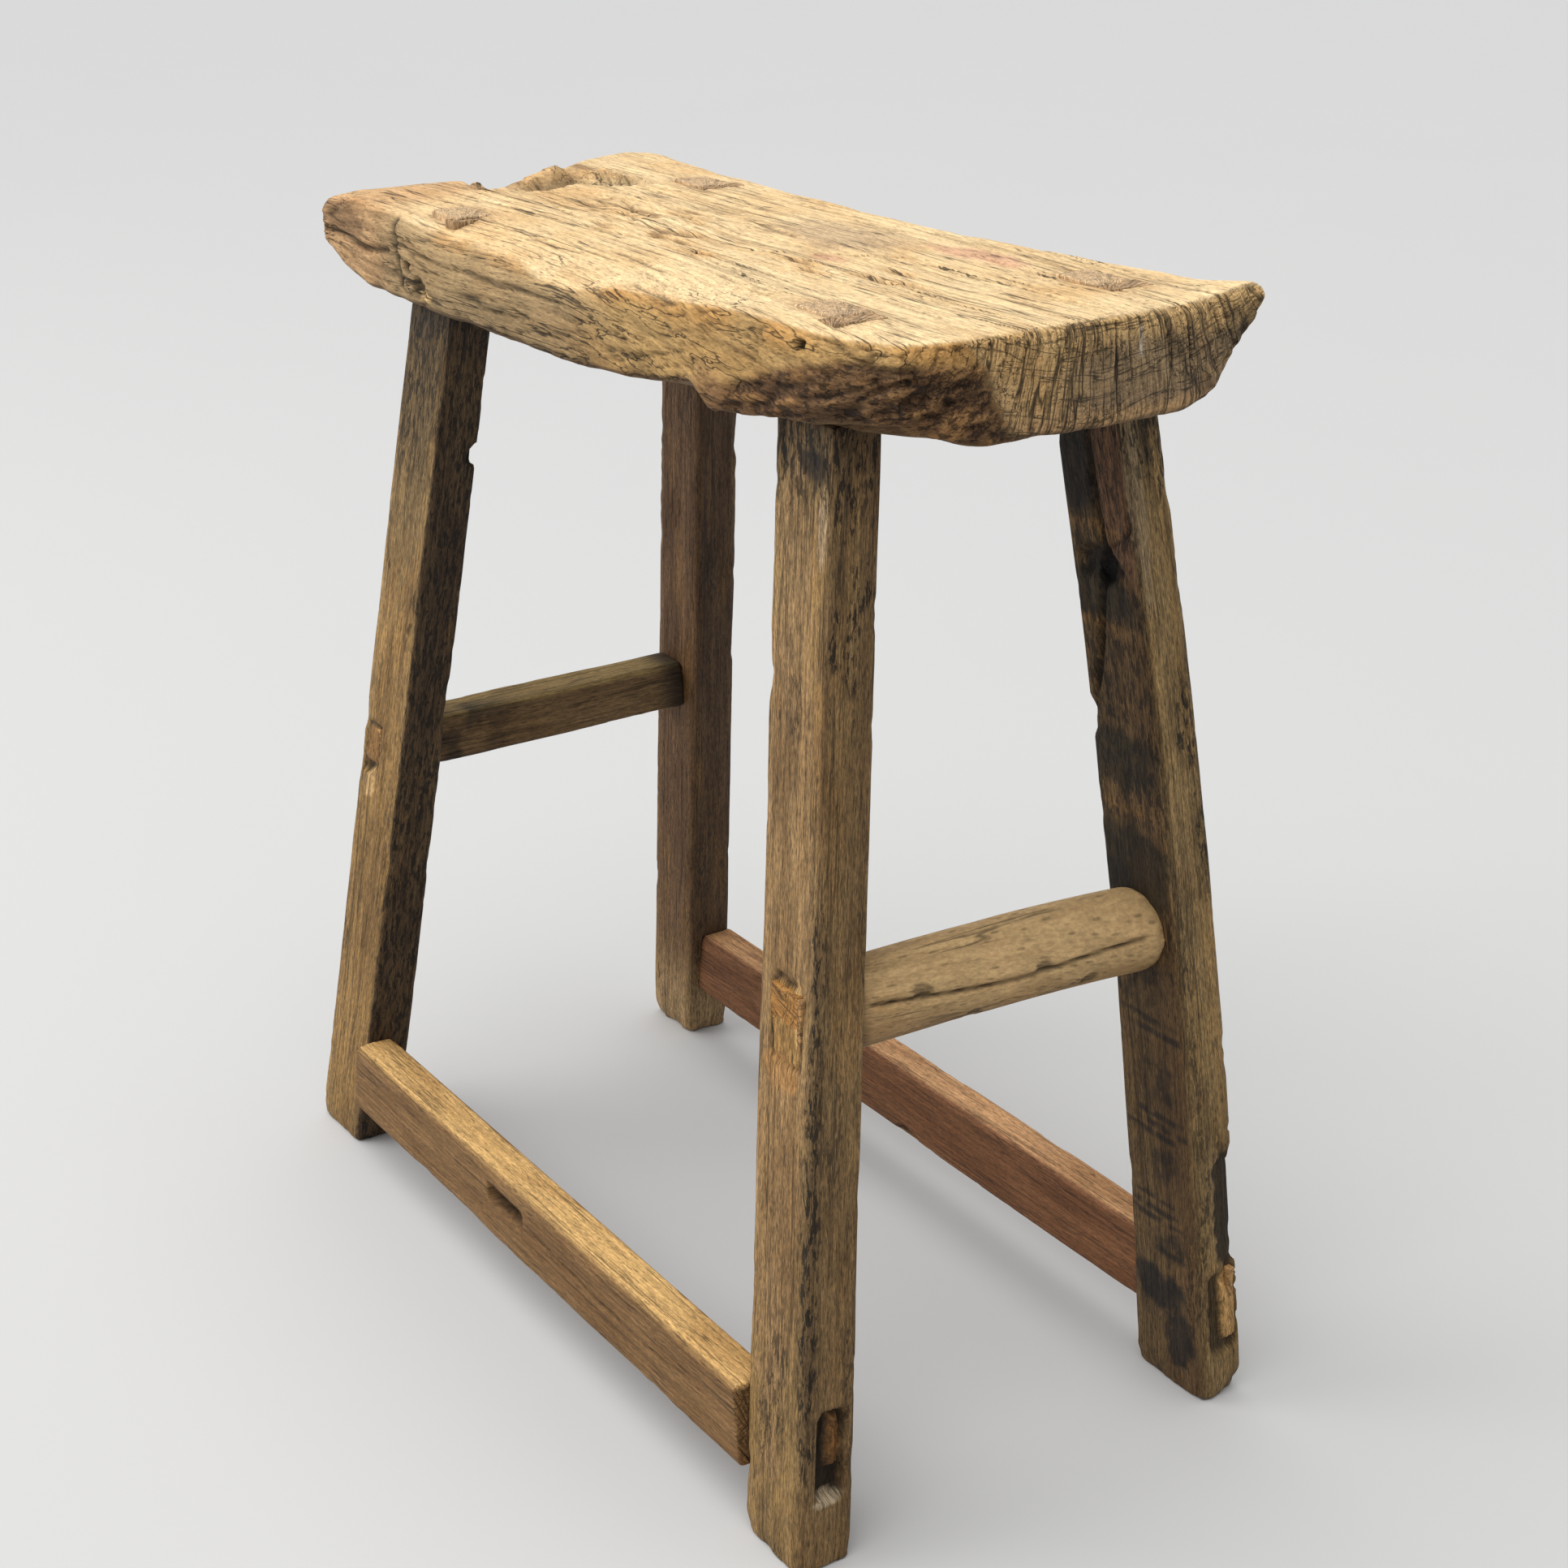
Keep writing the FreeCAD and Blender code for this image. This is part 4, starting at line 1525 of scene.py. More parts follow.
    def low_level(self, x: Array, y: Array) -> Array:
        """Give the height of the underside, which sweeps up to the back.

        Args:
            x: Place along the board.
            y: Place across the board.

        Returns:
            The height.
        """
        back = np.interp(y, [80, 94, 99, 107, 114, 120, 125], [0, 3, 8, 18, 28, 37, 42])
        edge = np.interp(
            x, [-250, -240, -217, -191, -110, 15, 66, 92, 101, 108, 130, 176, 206, 214],
            [12, 8, 2, -1, -1.5, 0, 4, 9, 9, 1, 3, 9, 12, 12],
        )
        inward = self.inward(x, y)
        return self.under + back + edge * np.exp(-((inward / 17.0) ** 2))

    def lay_out(self) -> Skin:
        """Build the closed shell of the board.

        Returns:
            Its skin, not yet worn.
        """
        sheet = self.plan()
        wide, deep = self.columns, self.rows
        index = np.arange(wide * deep).reshape(wide, deep)
        loop = np.concatenate([index[:-1, 0], index[-1, :-1], index[:0:-1, -1], index[0, :0:-1]])
        flat = sheet.reshape(-1, 2)
        rim = flat[loop]
        away, _ = gap_to(np.vstack([rim, rim[:1]])[::2], flat[:, 1], flat[:, 0])
        away[loop] = 0.0
        top, low = self.top_level(*flat.T), self.low_level(*flat.T)
        ripple = rough_noise(np.column_stack([flat / 22.0, top * 0]), 5, 2)
        radius = np.minimum(self.arris * (1.1 + 0.5 * ripple), 0.42 * (top - low))
        short = np.clip(radius - away, 0, radius)
        drop = radius - np.sqrt(np.maximum(radius**2 - short**2, 0.0))
        upper = np.column_stack([flat, top - drop])
        lower = np.column_stack([flat, low + drop])
        share = (np.arange(1, self.layers) / self.layers)[:, None, None]
        band = upper[loop][None] * (1 - share) + lower[loop][None] * share
        points = np.vstack([upper, band.reshape(-1, 3), lower])
        first, second = index[:-1, :-1].ravel(), index[1:, :-1].ravel()
        third, fourth = index[1:, 1:].ravel(), index[:-1, 1:].ravel()
        count, around = len(flat), len(loop)
        levels = count + np.arange((self.layers - 1) * around).reshape(-1, around)
        base = count + levels.size
        levels = np.vstack([loop, levels, base + loop])
        after = np.roll(levels, -1, axis=1)
        walls = np.stack([levels[:-1], levels[1:], after[1:], after[:-1]], axis=-1).reshape(-1, 4)
        quads = np.vstack(
            [
                np.column_stack([first, second, third, fourth]),
                base + np.column_stack([first, fourth, third, second]),
                walls,
            ]
        )
        tone = np.tile(STRAW, (len(points), 1))
        return Skin(points, quads, np.zeros((0, 3), int), self.wood(points), tone)

    def wood(self, points: Array) -> Array:
        """Find each point's place in the tree: along, out from the heart and round it.

        Args:
            points: Where the points lie.

        Returns:
            The wood coordinates.
        """
        x, y, z = points.T
        reach = self.heart[1] - self.over
        bend = 10.0 * rough_noise(np.column_stack([x / 150, y / 90, z / 90]), 3, 2)
        swirl = 7.0 * rough_noise(np.column_stack([x / 110, y / 60, z / 60]), 4, 2)
        rise = -26.0 * smooth(-20, 220, x) * smooth(-20, -85, y)
        ring = np.hypot(y - self.heart[0], self.heart[1] - z) + swirl + rise
        turn = np.arctan2(y - self.heart[0], self.heart[1] - z) * reach + bend
        return np.column_stack([x, ring, turn])

    def build(self, legs: list[Leg]) -> None:
        """Work the board and write it.

        Args:
            legs: The legs whose tenons come up through it.
        """
        skin = self.lay_out()
        facing = skin.normals()
        x, y, z = skin.points.T
        self.top = Face(x, y, smooth(0.3, 0.8, facing[:, 2]), 3)
        corner = y + 34.0 - 0.5 * (511.0 - z)
        turned = smooth(0.2, 0.7, facing[:, 0]) * smooth(150, 175, x)
        facing_front = smooth(0.25, 0.75, -facing[:, 1])
        square = turned * smooth(-4, 4, corner)
        waney = smooth(0.25, 0.7, np.hypot(*facing[:, :2].T)) * smooth(4, -4, corner) * smooth(95, 110, x)
        self.front = Face(x, z, np.maximum(facing_front * (1 - square), waney), 4)
        self.right = Face(y, z, square, 5)
        self.left = Face(y, z, smooth(0.3, 0.8, -facing[:, 0]) * smooth(-120, -160, x), 6)
        self.low = smooth(0.2, 0.8, -facing[:, 2])
        skin.ends = np.clip(self.right.share + self.left.share, 0, 1)
        self.shape(skin)
        skin.grain = self.wood(skin.points)
        steps = (
            self.tones, self.grain_relief, self.end_checks, self.top_checks, self.top_marks,
            self.tongue, self.bark,
        )
        for step in steps:
            step(skin)
        self.sockets(skin, legs)
        finished(skin, "seat_board", SEAT_WOOD.material(), self.node)

    def shape(self, skin: Skin) -> None:
        """Wear the whole form: hollows, the scalloped rim and the broken lip.

        Args:
            skin: The board's skin.
        """
        x, y, _ = skin.points.T
        top, right = self.top, self.right
        side = 1.0 - np.clip(top.share, 0, 1)
        skin.push(1.0 * skin.clouds(60.0, 11, 2) * top.share + 1.1 * skin.clouds(34.0, 12) * side)
        skin.push(-1.2 * np.clip(skin.clouds(15.0, 14), 0, 1) * smooth(0.1, 0.7, side))
        tip = right.share * smooth(74, 96, y)
        skin.push(tip * (2.4 * skin.clouds(7.0, 17, 2) - 1.0))
        edge = np.interp(
            y, [-34, -20, 1, 15, 25, 39, 62, 90], [-152, -160, -169, -169, -154, -154, -146, -190]
        )
        edge = edge + 9.0 * rough_noise(np.column_stack([y / 12, y * 0, y * 0]), 15, 3)
        inside = edge - x
        reach = smooth(-22, -10, y) * smooth(58, 30, y) * top.share
        rise = np.clip(3.6 + 6.0 * skin.clouds(11.0, 16, 2), 0.0, 8.0)
        skin.points[:, 2] += rise * smooth(-1.0, 6.0, inside) * np.exp(-((inside / 30.0) ** 2)) * reach
        gap = np.exp(-(((inside + 2.0) / 3.0) ** 2)) * reach * smooth(-0.5, 0.1, skin.clouds(20.0, 18, 2))
        skin.points[:, 2] -= 4.0 * gap
        self.lip = (smooth(0.0, 4.0, inside) * reach, gap)

    def tones(self, skin: Skin) -> None:
        """Lay the broad tones of each side, with painted shadow in the crack under the broken lip.

        Args:
            skin: The board's skin.
        """
        x, y, z = skin.points.T
        top, front, right = self.top, self.front, self.right
        cloud = skin.clouds(55.0, 21)
        skin.colour(0.5 * top.share * smooth(0.0, 0.7, cloud), paint(216, 172, 112))
        skin.colour(0.9 * front.share, DRIFT)
        skin.colour(0.45 * front.share * smooth(496, 482, z + 4 * cloud), paint(140, 118, 84))
        skin.colour(0.75 * front.share * smooth(-10, 60, x), paint(206, 168, 106))
        rim = front.share * smooth(500, 510, z) + 0.7 * top.share * smooth(-72, -88, y)
        rim = np.clip(rim, 0, 1) * smooth(-0.3, 0.5, skin.clouds(26.0, 22))
        skin.colour(0.6 * rim, paint(206, 150, 78))
        tongue = smooth(-150, -190, x + 8 * cloud) * smooth(0, -20, y)
        skin.colour(0.7 * tongue * (1 - self.low), paint(206, 164, 118))
        skin.colour(0.9 * right.share, paint(214, 176, 118))
        skin.colour(0.8 * right.share * smooth(488, 476, z + 3 * cloud), paint(186, 150, 106))
        stain = right.share * smooth(0, 26, y + 10 * cloud) * smooth(508, 498, z + 9 * cloud)
        skin.colour(0.6 * stain * smooth(474, 482, z), SLATE)
        skin.colour(0.6 * right.share * smooth(10, -30, y) * smooth(506, 494, z), paint(160, 132, 98))
        skin.colour(0.85 * self.left.share, paint(150, 118, 80))
        skin.colour(0.9 * self.low, paint(104, 80, 54))
        skin.colour(0.5 * self.lip[0], paint(206, 158, 96))
        # dark wall of the broken lip: partly the broken wood's colour, partly painted shade
        lip_wall_and_shadow = np.clip(self.lip[1] + smooth(0.0, 0.6, self.lip[0]) * smooth(1.0, 0.7, self.lip[0]), 0, 1)
        skin.colour(0.6 * lip_wall_and_shadow * smooth(-0.4, 0.3, skin.clouds(9.0, 23)), paint(112, 78, 44))
        # painted shadow in the crack beneath the lip
        skin.shade(self.lip[1], 0.25)

    def grain_relief(self, skin: Skin) -> None:
        """Raise the fibres, more on the weathered edges than on the worn top.

        Args:
            skin: The board's skin.
        """
        top, front = self.top, self.front
        lines = skin.fibres(60.0, 3.0, 31)
        skin.push(lines * (0.28 * top.share + 0.5 * front.share + 0.2 * self.low))
        skin.shade(front.share * smooth(0.0, -0.4, lines), 0.68)
        skin.shade(top.share * smooth(-0.25, -0.6, lines), 0.7)
        crease = skin.fibres(95.0, 5.0, 33, 2)
        thin = smooth(0.09, 0.0, np.abs(crease))
        skin.cut(front.share * thin * smooth(-0.3, 0.2, skin.clouds(30.0, 34)), 1.3, 0.35)
        x, _, z = skin.points.T
        rising = rough_noise(np.column_stack([x / 55, (z - 0.24 * x) / 3.2, x * 0]), 37, 3)
        where = front.share * smooth(-90, -50, x) * smooth(-0.3, 0.3, skin.clouds(26.0, 38))
        skin.cut(where * smooth(0.075, 0.0, np.abs(rising)), 0.8, 0.42)
        rings = np.mod(skin.grain[:, 1] + 1.2 * skin.clouds(10.0, 35), 4.6) / 4.6
        arc = smooth(0.24, 0.0, np.abs(rings - 0.5)) * self.right.share
        skin.cut(arc * smooth(-0.3, 0.4, skin.clouds(20.0, 36)), 0.3, 0.75)

    def end_checks(self, skin: Skin) -> None:
        """Open the radial drying checks of the square-cut end, which run over onto the top, with painted
        shade inside them.

        Args:
            skin: The board's skin.
        """
        chance = np.random.default_rng(7)
        along, _, turn = skin.grain.T
        near = np.nonzero(along > 150)[0]
        depth = self.over - skin.points[:, 2]
        total = np.zeros(len(along))
        place = -112.0
        while place < 92.0:
            place += chance.uniform(3.6, 8.2)
            reach_in = chance.uniform(5, 20) + (26 if chance.random() < 0.16 else 0)
            reach_down = chance.uniform(7, 44)
            width = chance.uniform(1.0, 1.7) + 0.5 * smooth(-10, 40, np.array([place]))[0]
            strength = chance.uniform(0.35, 1.0)
            centre = place + 0.5 * np.sin(depth[near] / chance.uniform(5, 9) + place)
            thin = smooth(reach_down, reach_down * 0.5, depth[near]) * smooth(
                211 - reach_in, 211 - reach_in * 0.4, along[near]
            )
            gap = np.abs(turn[near] - centre)
            line = groove(gap, width, thin, 0.5) * thin * strength
            total[near] = np.maximum(total[near], line)
        ink = rough_noise(np.column_stack([turn / 2.4, depth / 17, turn * 0]), 39, 3)
        where = smooth(0.0, 5.0, depth) * smooth(24.0, 12.0, depth + 6 * skin.clouds(12.0, 40))
        where = where * skin.ends * smooth(-30, 0, turn) * smooth(190, 200, along)
        skin.colour(0.55 * where * smooth(0.05, 0.3, ink), SOOT_AND_SHADE)
        pale = skin.ends * smooth(190, 200, along) * smooth(0.1, 0.5, skin.clouds(18.0, 42))
        skin.colour(0.6 * pale * smooth(26, 34, depth), paint(206, 168, 116))
        skin.push(-1.3 * total)
        # painted shade inside the checks
        skin.shade(smooth(0.25, 0.7, total), 0.14)

    def top_checks(self, skin: Skin) -> None:
        """Scatter long thin checks over the top, along the grain, with painted shade inside them.

        Args:
            skin: The board's skin.
        """
        chance = np.random.default_rng(19)
        along, _, turn = skin.grain.T
        total = np.zeros(len(along))
        for _ in range(96):
            place = chance.uniform(-112, 84)
            start = chance.uniform(-215, 150)
            length = chance.uniform(25, 120)
            width = chance.uniform(1.1, 1.8)
            slant = chance.uniform(-0.07, 0.03)
            strength = chance.uniform(0.35, 1.0)
            near = np.nonzero(np.abs(turn - place) < 14)[0]
            centre = place + slant * (along[near] - start)
            share = (along[near] - start) / length
            thin = smooth(0.0, 0.3, share) * smooth(1.0, 0.6, share)
            gap = np.abs(turn[near] - centre)
            line = groove(gap, width, thin, 0.4) * thin * strength
            total[near] = np.maximum(total[near], line)
        skin.push(-2.0 * total * self.top.share)
        # painted shade inside the checks
        skin.shade(smooth(0.15, 0.5, total) * self.top.share, 0.26)

    def top_marks(self, skin: Skin) -> None:
        """Add the single hollows, splits and stains of the top, with painted shade in the hollows between
        the scales.

        Args:
            skin: The board's skin.
        """
        top = self.top
        hollows = (
            (-77, -8, 9), (-25, -19, 11), (-27, -5, 8), (52, -1, 8), (100, 2, 12), (95, 19, 7),
            (117, 7, 7), (-60, 14, 8), (72, -10, 6), (12, -26, 5),
        )
        for place, across, reach in hollows:
            skin.colour(0.35 * top.spot(place, across, reach + 7, 5, 0.6, soft=0.9), paint(208, 156, 90))
            skin.cut(top.spot(place, across, reach, 2.6, 0.6, soft=0.5, grit=4.0), 3.4, 0.25)
        scaly = top.spot(-62, 4, 66, 34, 0.5, soft=1.0, grit=18)
        scales = rough_noise(np.column_stack([top.along / 15, top.across / 5, top.across * 0]), 41, 3)
        skin.push(1.8 * scaly * scales)
        edges = smooth(0.07, 0.0, np.abs(scales + 0.12)) * smooth(0.0, 0.4, skin.clouds(22.0, 43))
        skin.cut(scaly * edges, 0.8, 0.25)
        # painted shade in the hollows between the scales
        skin.shade(scaly * smooth(-0.3, -0.55, scales), 0.4)
        skin.colour(0.3 * scaly * smooth(-0.05, -0.4, scales), paint(200, 150, 90))
        splits = (
            ((9, -9), (20, -2), (31, 7)), ((42, 19), (58, 33), (76, 44), (115, 37)),
            ((78, 70), (112, 67), (147, 66), (200, 78)), ((104, 38), (140, 42), (166, 41), (200, 42)),
            ((-60, 30), (-20, 34), (10, 30)), ((-110, 10), (-92, 4), (-80, -4)),
            ((-48, -34), (-4, -30), (26, -34)), ((-120, -24), (-84, -30), (-60, -28)),
        )
        for path in splits:
            skin.cut(top.line(list(path), 2.6), 3.0, 0.22)
        skin.colour(0.4 * top.spot(14, 50, 34, 24, 0.45, soft=0.8, grit=14), paint(150, 122, 104))
        skin.colour(0.5 * top.spot(84, 70, 34, 9, 0.5, soft=0.8, grit=12), ROSE)
        skin.colour(0.45 * top.spot(52, 14, 10, 6, 0.5, soft=0.8), ROSE)

    def tongue(self, skin: Skin) -> None:
        """Open the splits and the knot of the broken tongue.

        Args:
            skin: The board's skin.
        """
        front = self.front
        skin.cut(front.line([(-256, 490), (-222, 491), (-190, 489), (-160, 493)], 5.0, 0.03), 3.4, 0.12)
        notch = [(-155, 510), (-152, 494), (-147, 477)]
        skin.cut(front.line(notch, 4.2, 0.05), 1.6, 0.08)
        # painted shade down the notch's crack
        skin.colour(front.line(notch, 3.4, 0.05), SOOT_AND_SHADE)
        skin.colour(0.6 * front.spot(-216, 498, 26, 7, 0.5, soft=0.8), paint(104, 78, 52))
        skin.cut(front.spot(-141, 488, 3.6, 3.0, 0.3), 4.0, 0.1)
        skin.cut(front.spot(-129, 480, 6, 5, 0.4), 2.4, 0.45)
        skin.colour(front.spot(-124, 477, 6, 2.4, 0.3), paint(222, 186, 130))
        edge = self.top.line([(-168, -30), (-158, -46), (-154, -60), (-154, -86)], 2.6, 0.3)
        skin.cut(edge, 2.0, 0.3)

    def bark(self, skin: Skin) -> None:
        """Darken and rib the waney strip under the near corner, with a painted highlight on the rib tops
        and painted shade between them.

        Args:
            skin: The board's skin.
        """
        x, y, z = skin.points.T
        front, right = self.front, self.right
        cloud = skin.clouds(14.0, 61)
        brink = np.interp(x, [98, 120, 150, 178], [478, 486, 497, 505])
        share = front.share * smooth(98, 110, x + 5 * cloud) * smooth(brink + 2, brink - 3, z + 3 * cloud)
        run = x + 0.6 * (y + 80.0)
        lean = np.column_stack([run / 11, (z - 0.28 * run) / 3.0, y * 0])
        ribs = rough_noise(lean, 63, 4) + 0.35 * skin.clouds(3.6, 64, 2)
        skin.push(share * (2.8 * ribs - 0.6))
        skin.smoke(0.8 * share)
        skin.colour(0.95 * share, BARK)
        # painted highlight on the tops of the ribs
        skin.colour(0.7 * share * smooth(0.15, 0.45, ribs), paint(176, 134, 84))
        # painted shade in the furrows between the ribs
        skin.shade(share * smooth(0.05, -0.3, ribs), 0.5)
        skin.colour(0.7 * right.line([(50, 512), (51, 504), (50, 497)], 3.0), paint(226, 216, 202))
        skin.colour(0.6 * right.spot(114, 503, 6, 9, 0.6), SOOT_AND_SHADE)
        lobe = front.spot(108, 481, 11, 8, 0.2, soft=0.6)
        skin.push(3.0 * lobe)
        skin.colour(0.7 * lobe, paint(150, 116, 78))
        skin.cut(front.spot(160, 508, 2.2, 2.2, 0.1), 3.0, 0.15)

    def sockets(self, skin: Skin, legs: list[Leg]) -> None:
        """Sink the board round each tenon and paint shade in the ring round it.

        Args:
            skin: The board's skin.
            legs: The legs.
        """
        top = self.top
        for leg in legs:
            x, y = leg.middle(self.over)
            wide, deep = leg.tenon[0] / 2, leg.tenon[1] / 2
            outer = top.spot(x, y, wide + 1.6, deep + 1.2, 0.05, 9.0, 0.1, 6.0)
            inner = top.spot(x, y, wide - 1.0, deep - 0.8, 0.02, 9.0, 0.06, 6.0)
            skin.points[:, 2] -= 1.6 * inner
            skin.colour(0.5 * top.spot(x + 3, y, wide + 9, deep + 4, 0.3, soft=0.9), paint(196, 160, 118))
            # painted shade in the gap round the tenon
            skin.shade(np.clip(outer - inner, 0, 1), 0.85)


# ---------------------------------------------------------------- the turned rung and the wedges


class Tree(Nodes):
    """The nodes of one Geometry Nodes tree."""

    def __init__(self, name: str) -> None:
        """Start a tree with a mesh output.

        Args:
            name: The tree's name.
        """
        super().__init__(bpy.data.node_groups.new(name, "GeometryNodeTree"))
        self.tree.interface.new_socket("Geometry", in_out="OUTPUT", socket_type="NodeSocketGeometry")
        self.source = self.tree.nodes.new("NodeGroupInput")

    def size(self, name: str, kind: str = "NodeSocketFloat") -> Socket:
        """Add a named input and give its socket inside the tree."""
        self.tree.interface.new_socket(name, in_out="INPUT", socket_type=kind)
        return self.source.outputs[name]

    def finish(self, mesh: Socket, material: bpy.types.Material) -> None:
        """End the tree with real geometry and its finish.

        Args:
            mesh: The geometry.
            material: The finish.
        """
        real = self.add("GeometryNodeRealizeInstances", {0: mesh})
        inputs = {"Geometry": real.outputs[0], "Material": material}
        dressed = self.add("GeometryNodeSetMaterial", inputs)
        self.add("NodeGroupOutput", {0: dressed.outputs[0]})

    def grow(self, sizes: dict[str, object]) -> bpy.types.Mesh:
        """Run the tree with its sizes and keep the plain mesh.

        Args:
            sizes: A value for each named input.

        Returns:
            The mesh.
        """
        holder = linked("holder", bpy.data.meshes.new("holder"))
        modifier = holder.modifiers.new("grow", "NODES")
        modifier.node_group = self.tree
        for item in self.tree.interface.items_tree:
            if item.in_out == "INPUT" and item.name in sizes:
                modifier[item.identifier] = sizes[item.name]
        shown = holder.evaluated_get(bpy.context.evaluated_depsgraph_get())
        made = bpy.data.meshes.new_from_object(shown)
        bpy.data.objects.remove(holder)
        return made


def skin_of(mesh: bpy.types.Mesh, along: int, heart: Pair, tone: Array) -> Skin:
    """Start a skin from a plain mesh whose wood runs along one of its axes.

    Args:
        mesh: The mesh, in metres.
        along: The axis the grain follows.
        heart: Where the heart of the tree lies across the other two axes, in millimetres.
        tone: The first tone.

    Returns:
        The skin.
    """
    points = np.zeros(len(mesh.vertices) * 3)
    mesh.vertices.foreach_get("co", points)
    points = points.reshape(-1, 3) / MM
    shapes = [list(polygon.vertices) for polygon in mesh.polygons]
    quads = np.array([s for s in shapes if len(s) == 4], int).reshape(-1, 4)
    tris = [
        [s[0], s[n], s[n + 1]] for s in shapes if len(s) != 4 for n in range(1, len(s) - 1)
    ]
    across = [axis for axis in range(3) if axis != along]
    middle = (points.min(0) + points.max(0)) / 2
    first, second = (points - middle)[:, across].T
    ring, turn = round_heart(first, second, heart)
    grain = np.column_stack([points[:, along], ring, (turn - math.pi) * math.hypot(*heart)])
    return Skin(
        points, quads, np.array(tris, int).reshape(-1, 3), grain, np.tile(tone, (len(points), 1))
    )


class Drive(Enum):
    """The way a wedge was driven: which world axis, and which sense, its tip points to."""

    DOWN = (2, -1)
    LEFT = (0, -1)
    RIGHT = (0, 1)
    FORWARD = (1, -1)
    BACKWARD = (1, 1)


@dataclass
class Wedge:
    """One small wedge, thick where it was struck and thin at its tip."""

    node: str
    drive: Drive
    base: Triple = (176, 134, 82)
    seed: int = 1
    top: float | None = None
    tip: float = 0.3

    def tree(self, material: bpy.types.Material) -> Tree:
        """Build the tree of a wedge: a block that thins along its third axis.

        Args:
            material: The finish.

        Returns:
            The tree.
        """
        tree = Tree("driven_wedge")
        size = tree.size("Size", "NodeSocketVector")
        tip = tree.size("Tip share")
        block = tree.add(
            "GeometryNodeMeshCube",
            {"Size": (1.0, 1.0, 1.0), "Vertices X": 9, "Vertices Y": 13, "Vertices Z": 15},
        )
        place = tree.add("GeometryNodeInputPosition")
        parts = tree.add("ShaderNodeSeparateXYZ", {0: place.outputs[0]})
        thin = tree.add(
            "ShaderNodeMapRange",
            {"Value": parts.outputs[2], "From Min": -0.5, "From Max": 0.5, "To Min": tip, "To Max": 1.0},
        )
        slim = tree.add(
            "ShaderNodeMath", {0: parts.outputs[0], 1: thin.outputs[0]}, operation="MULTIPLY"
        )
        whole = tree.add(
            "ShaderNodeCombineXYZ", {0: slim.outputs[0], 1: parts.outputs[1], 2: parts.outputs[2]}
        )
        sized = tree.add(
            "ShaderNodeVectorMath", {0: whole.outputs[0], 1: size}, operation="MULTIPLY"
        )
        moved = tree.add(
            "GeometryNodeSetPosition",
            {"Geometry": block.outputs["Mesh"], "Position": sized.outputs[0]},
        )
        tree.finish(moved.outputs[0], material)
        return tree

    def build(self, material: bpy.types.Material) -> None:
        """Grow the wedge, turn it to its place and write it.

        Args:
            material: The finish.
        """
        low, high = (np.array(corner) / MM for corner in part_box(self.node))
        if self.top is not None:
            high[2] = self.top
        driven, sense = self.drive.value
        if driven != 2:
            low[driven] += SUNK if sense > 0 else 0.0
            high[driven] -= 0.0 if sense > 0 else SUNK
        others = [axis for axis in range(3) if axis != driven]
        slim = min(others, key=lambda axis: high[axis] - low[axis])
        broad = [axis for axis in others if axis != slim][0]
        span = high - low
        sizes = (span[slim] * MM, span[broad] * MM, span[driven] * MM)
        mesh = self.tree(material).grow({"Size": sizes, "Tip share": self.tip})
        skin = skin_of(mesh, 2, (14.0, -20.0), paint(*self.base))
        local = skin.points.copy()
        place = np.zeros_like(local)
        middle = (low + high) / 2
        place[:, slim] = middle[slim] + local[:, 0]
        place[:, broad] = middle[broad] + local[:, 1]
        place[:, driven] = middle[driven] - sense * local[:, 2]
        skin.points = place
        if np.linalg.det(np.eye(3)[[slim, broad, driven]]) * -sense < 0:
            skin.quads = skin.quads[:, ::-1]
            skin.tris = skin.tris[:, ::-1]
        skin.ends = smooth(span[driven] / 2 - 1.5, span[driven] / 2, local[:, 2])
        skin.push(0.35 * skin.clouds(2.2, self.seed, 2))
        skin.shade(smooth(0.0, 0.5, skin.fibres(9.0, 1.2, self.seed + 3)), 0.6)
        finished(skin, f"{self.node}_peg", material, self.node)


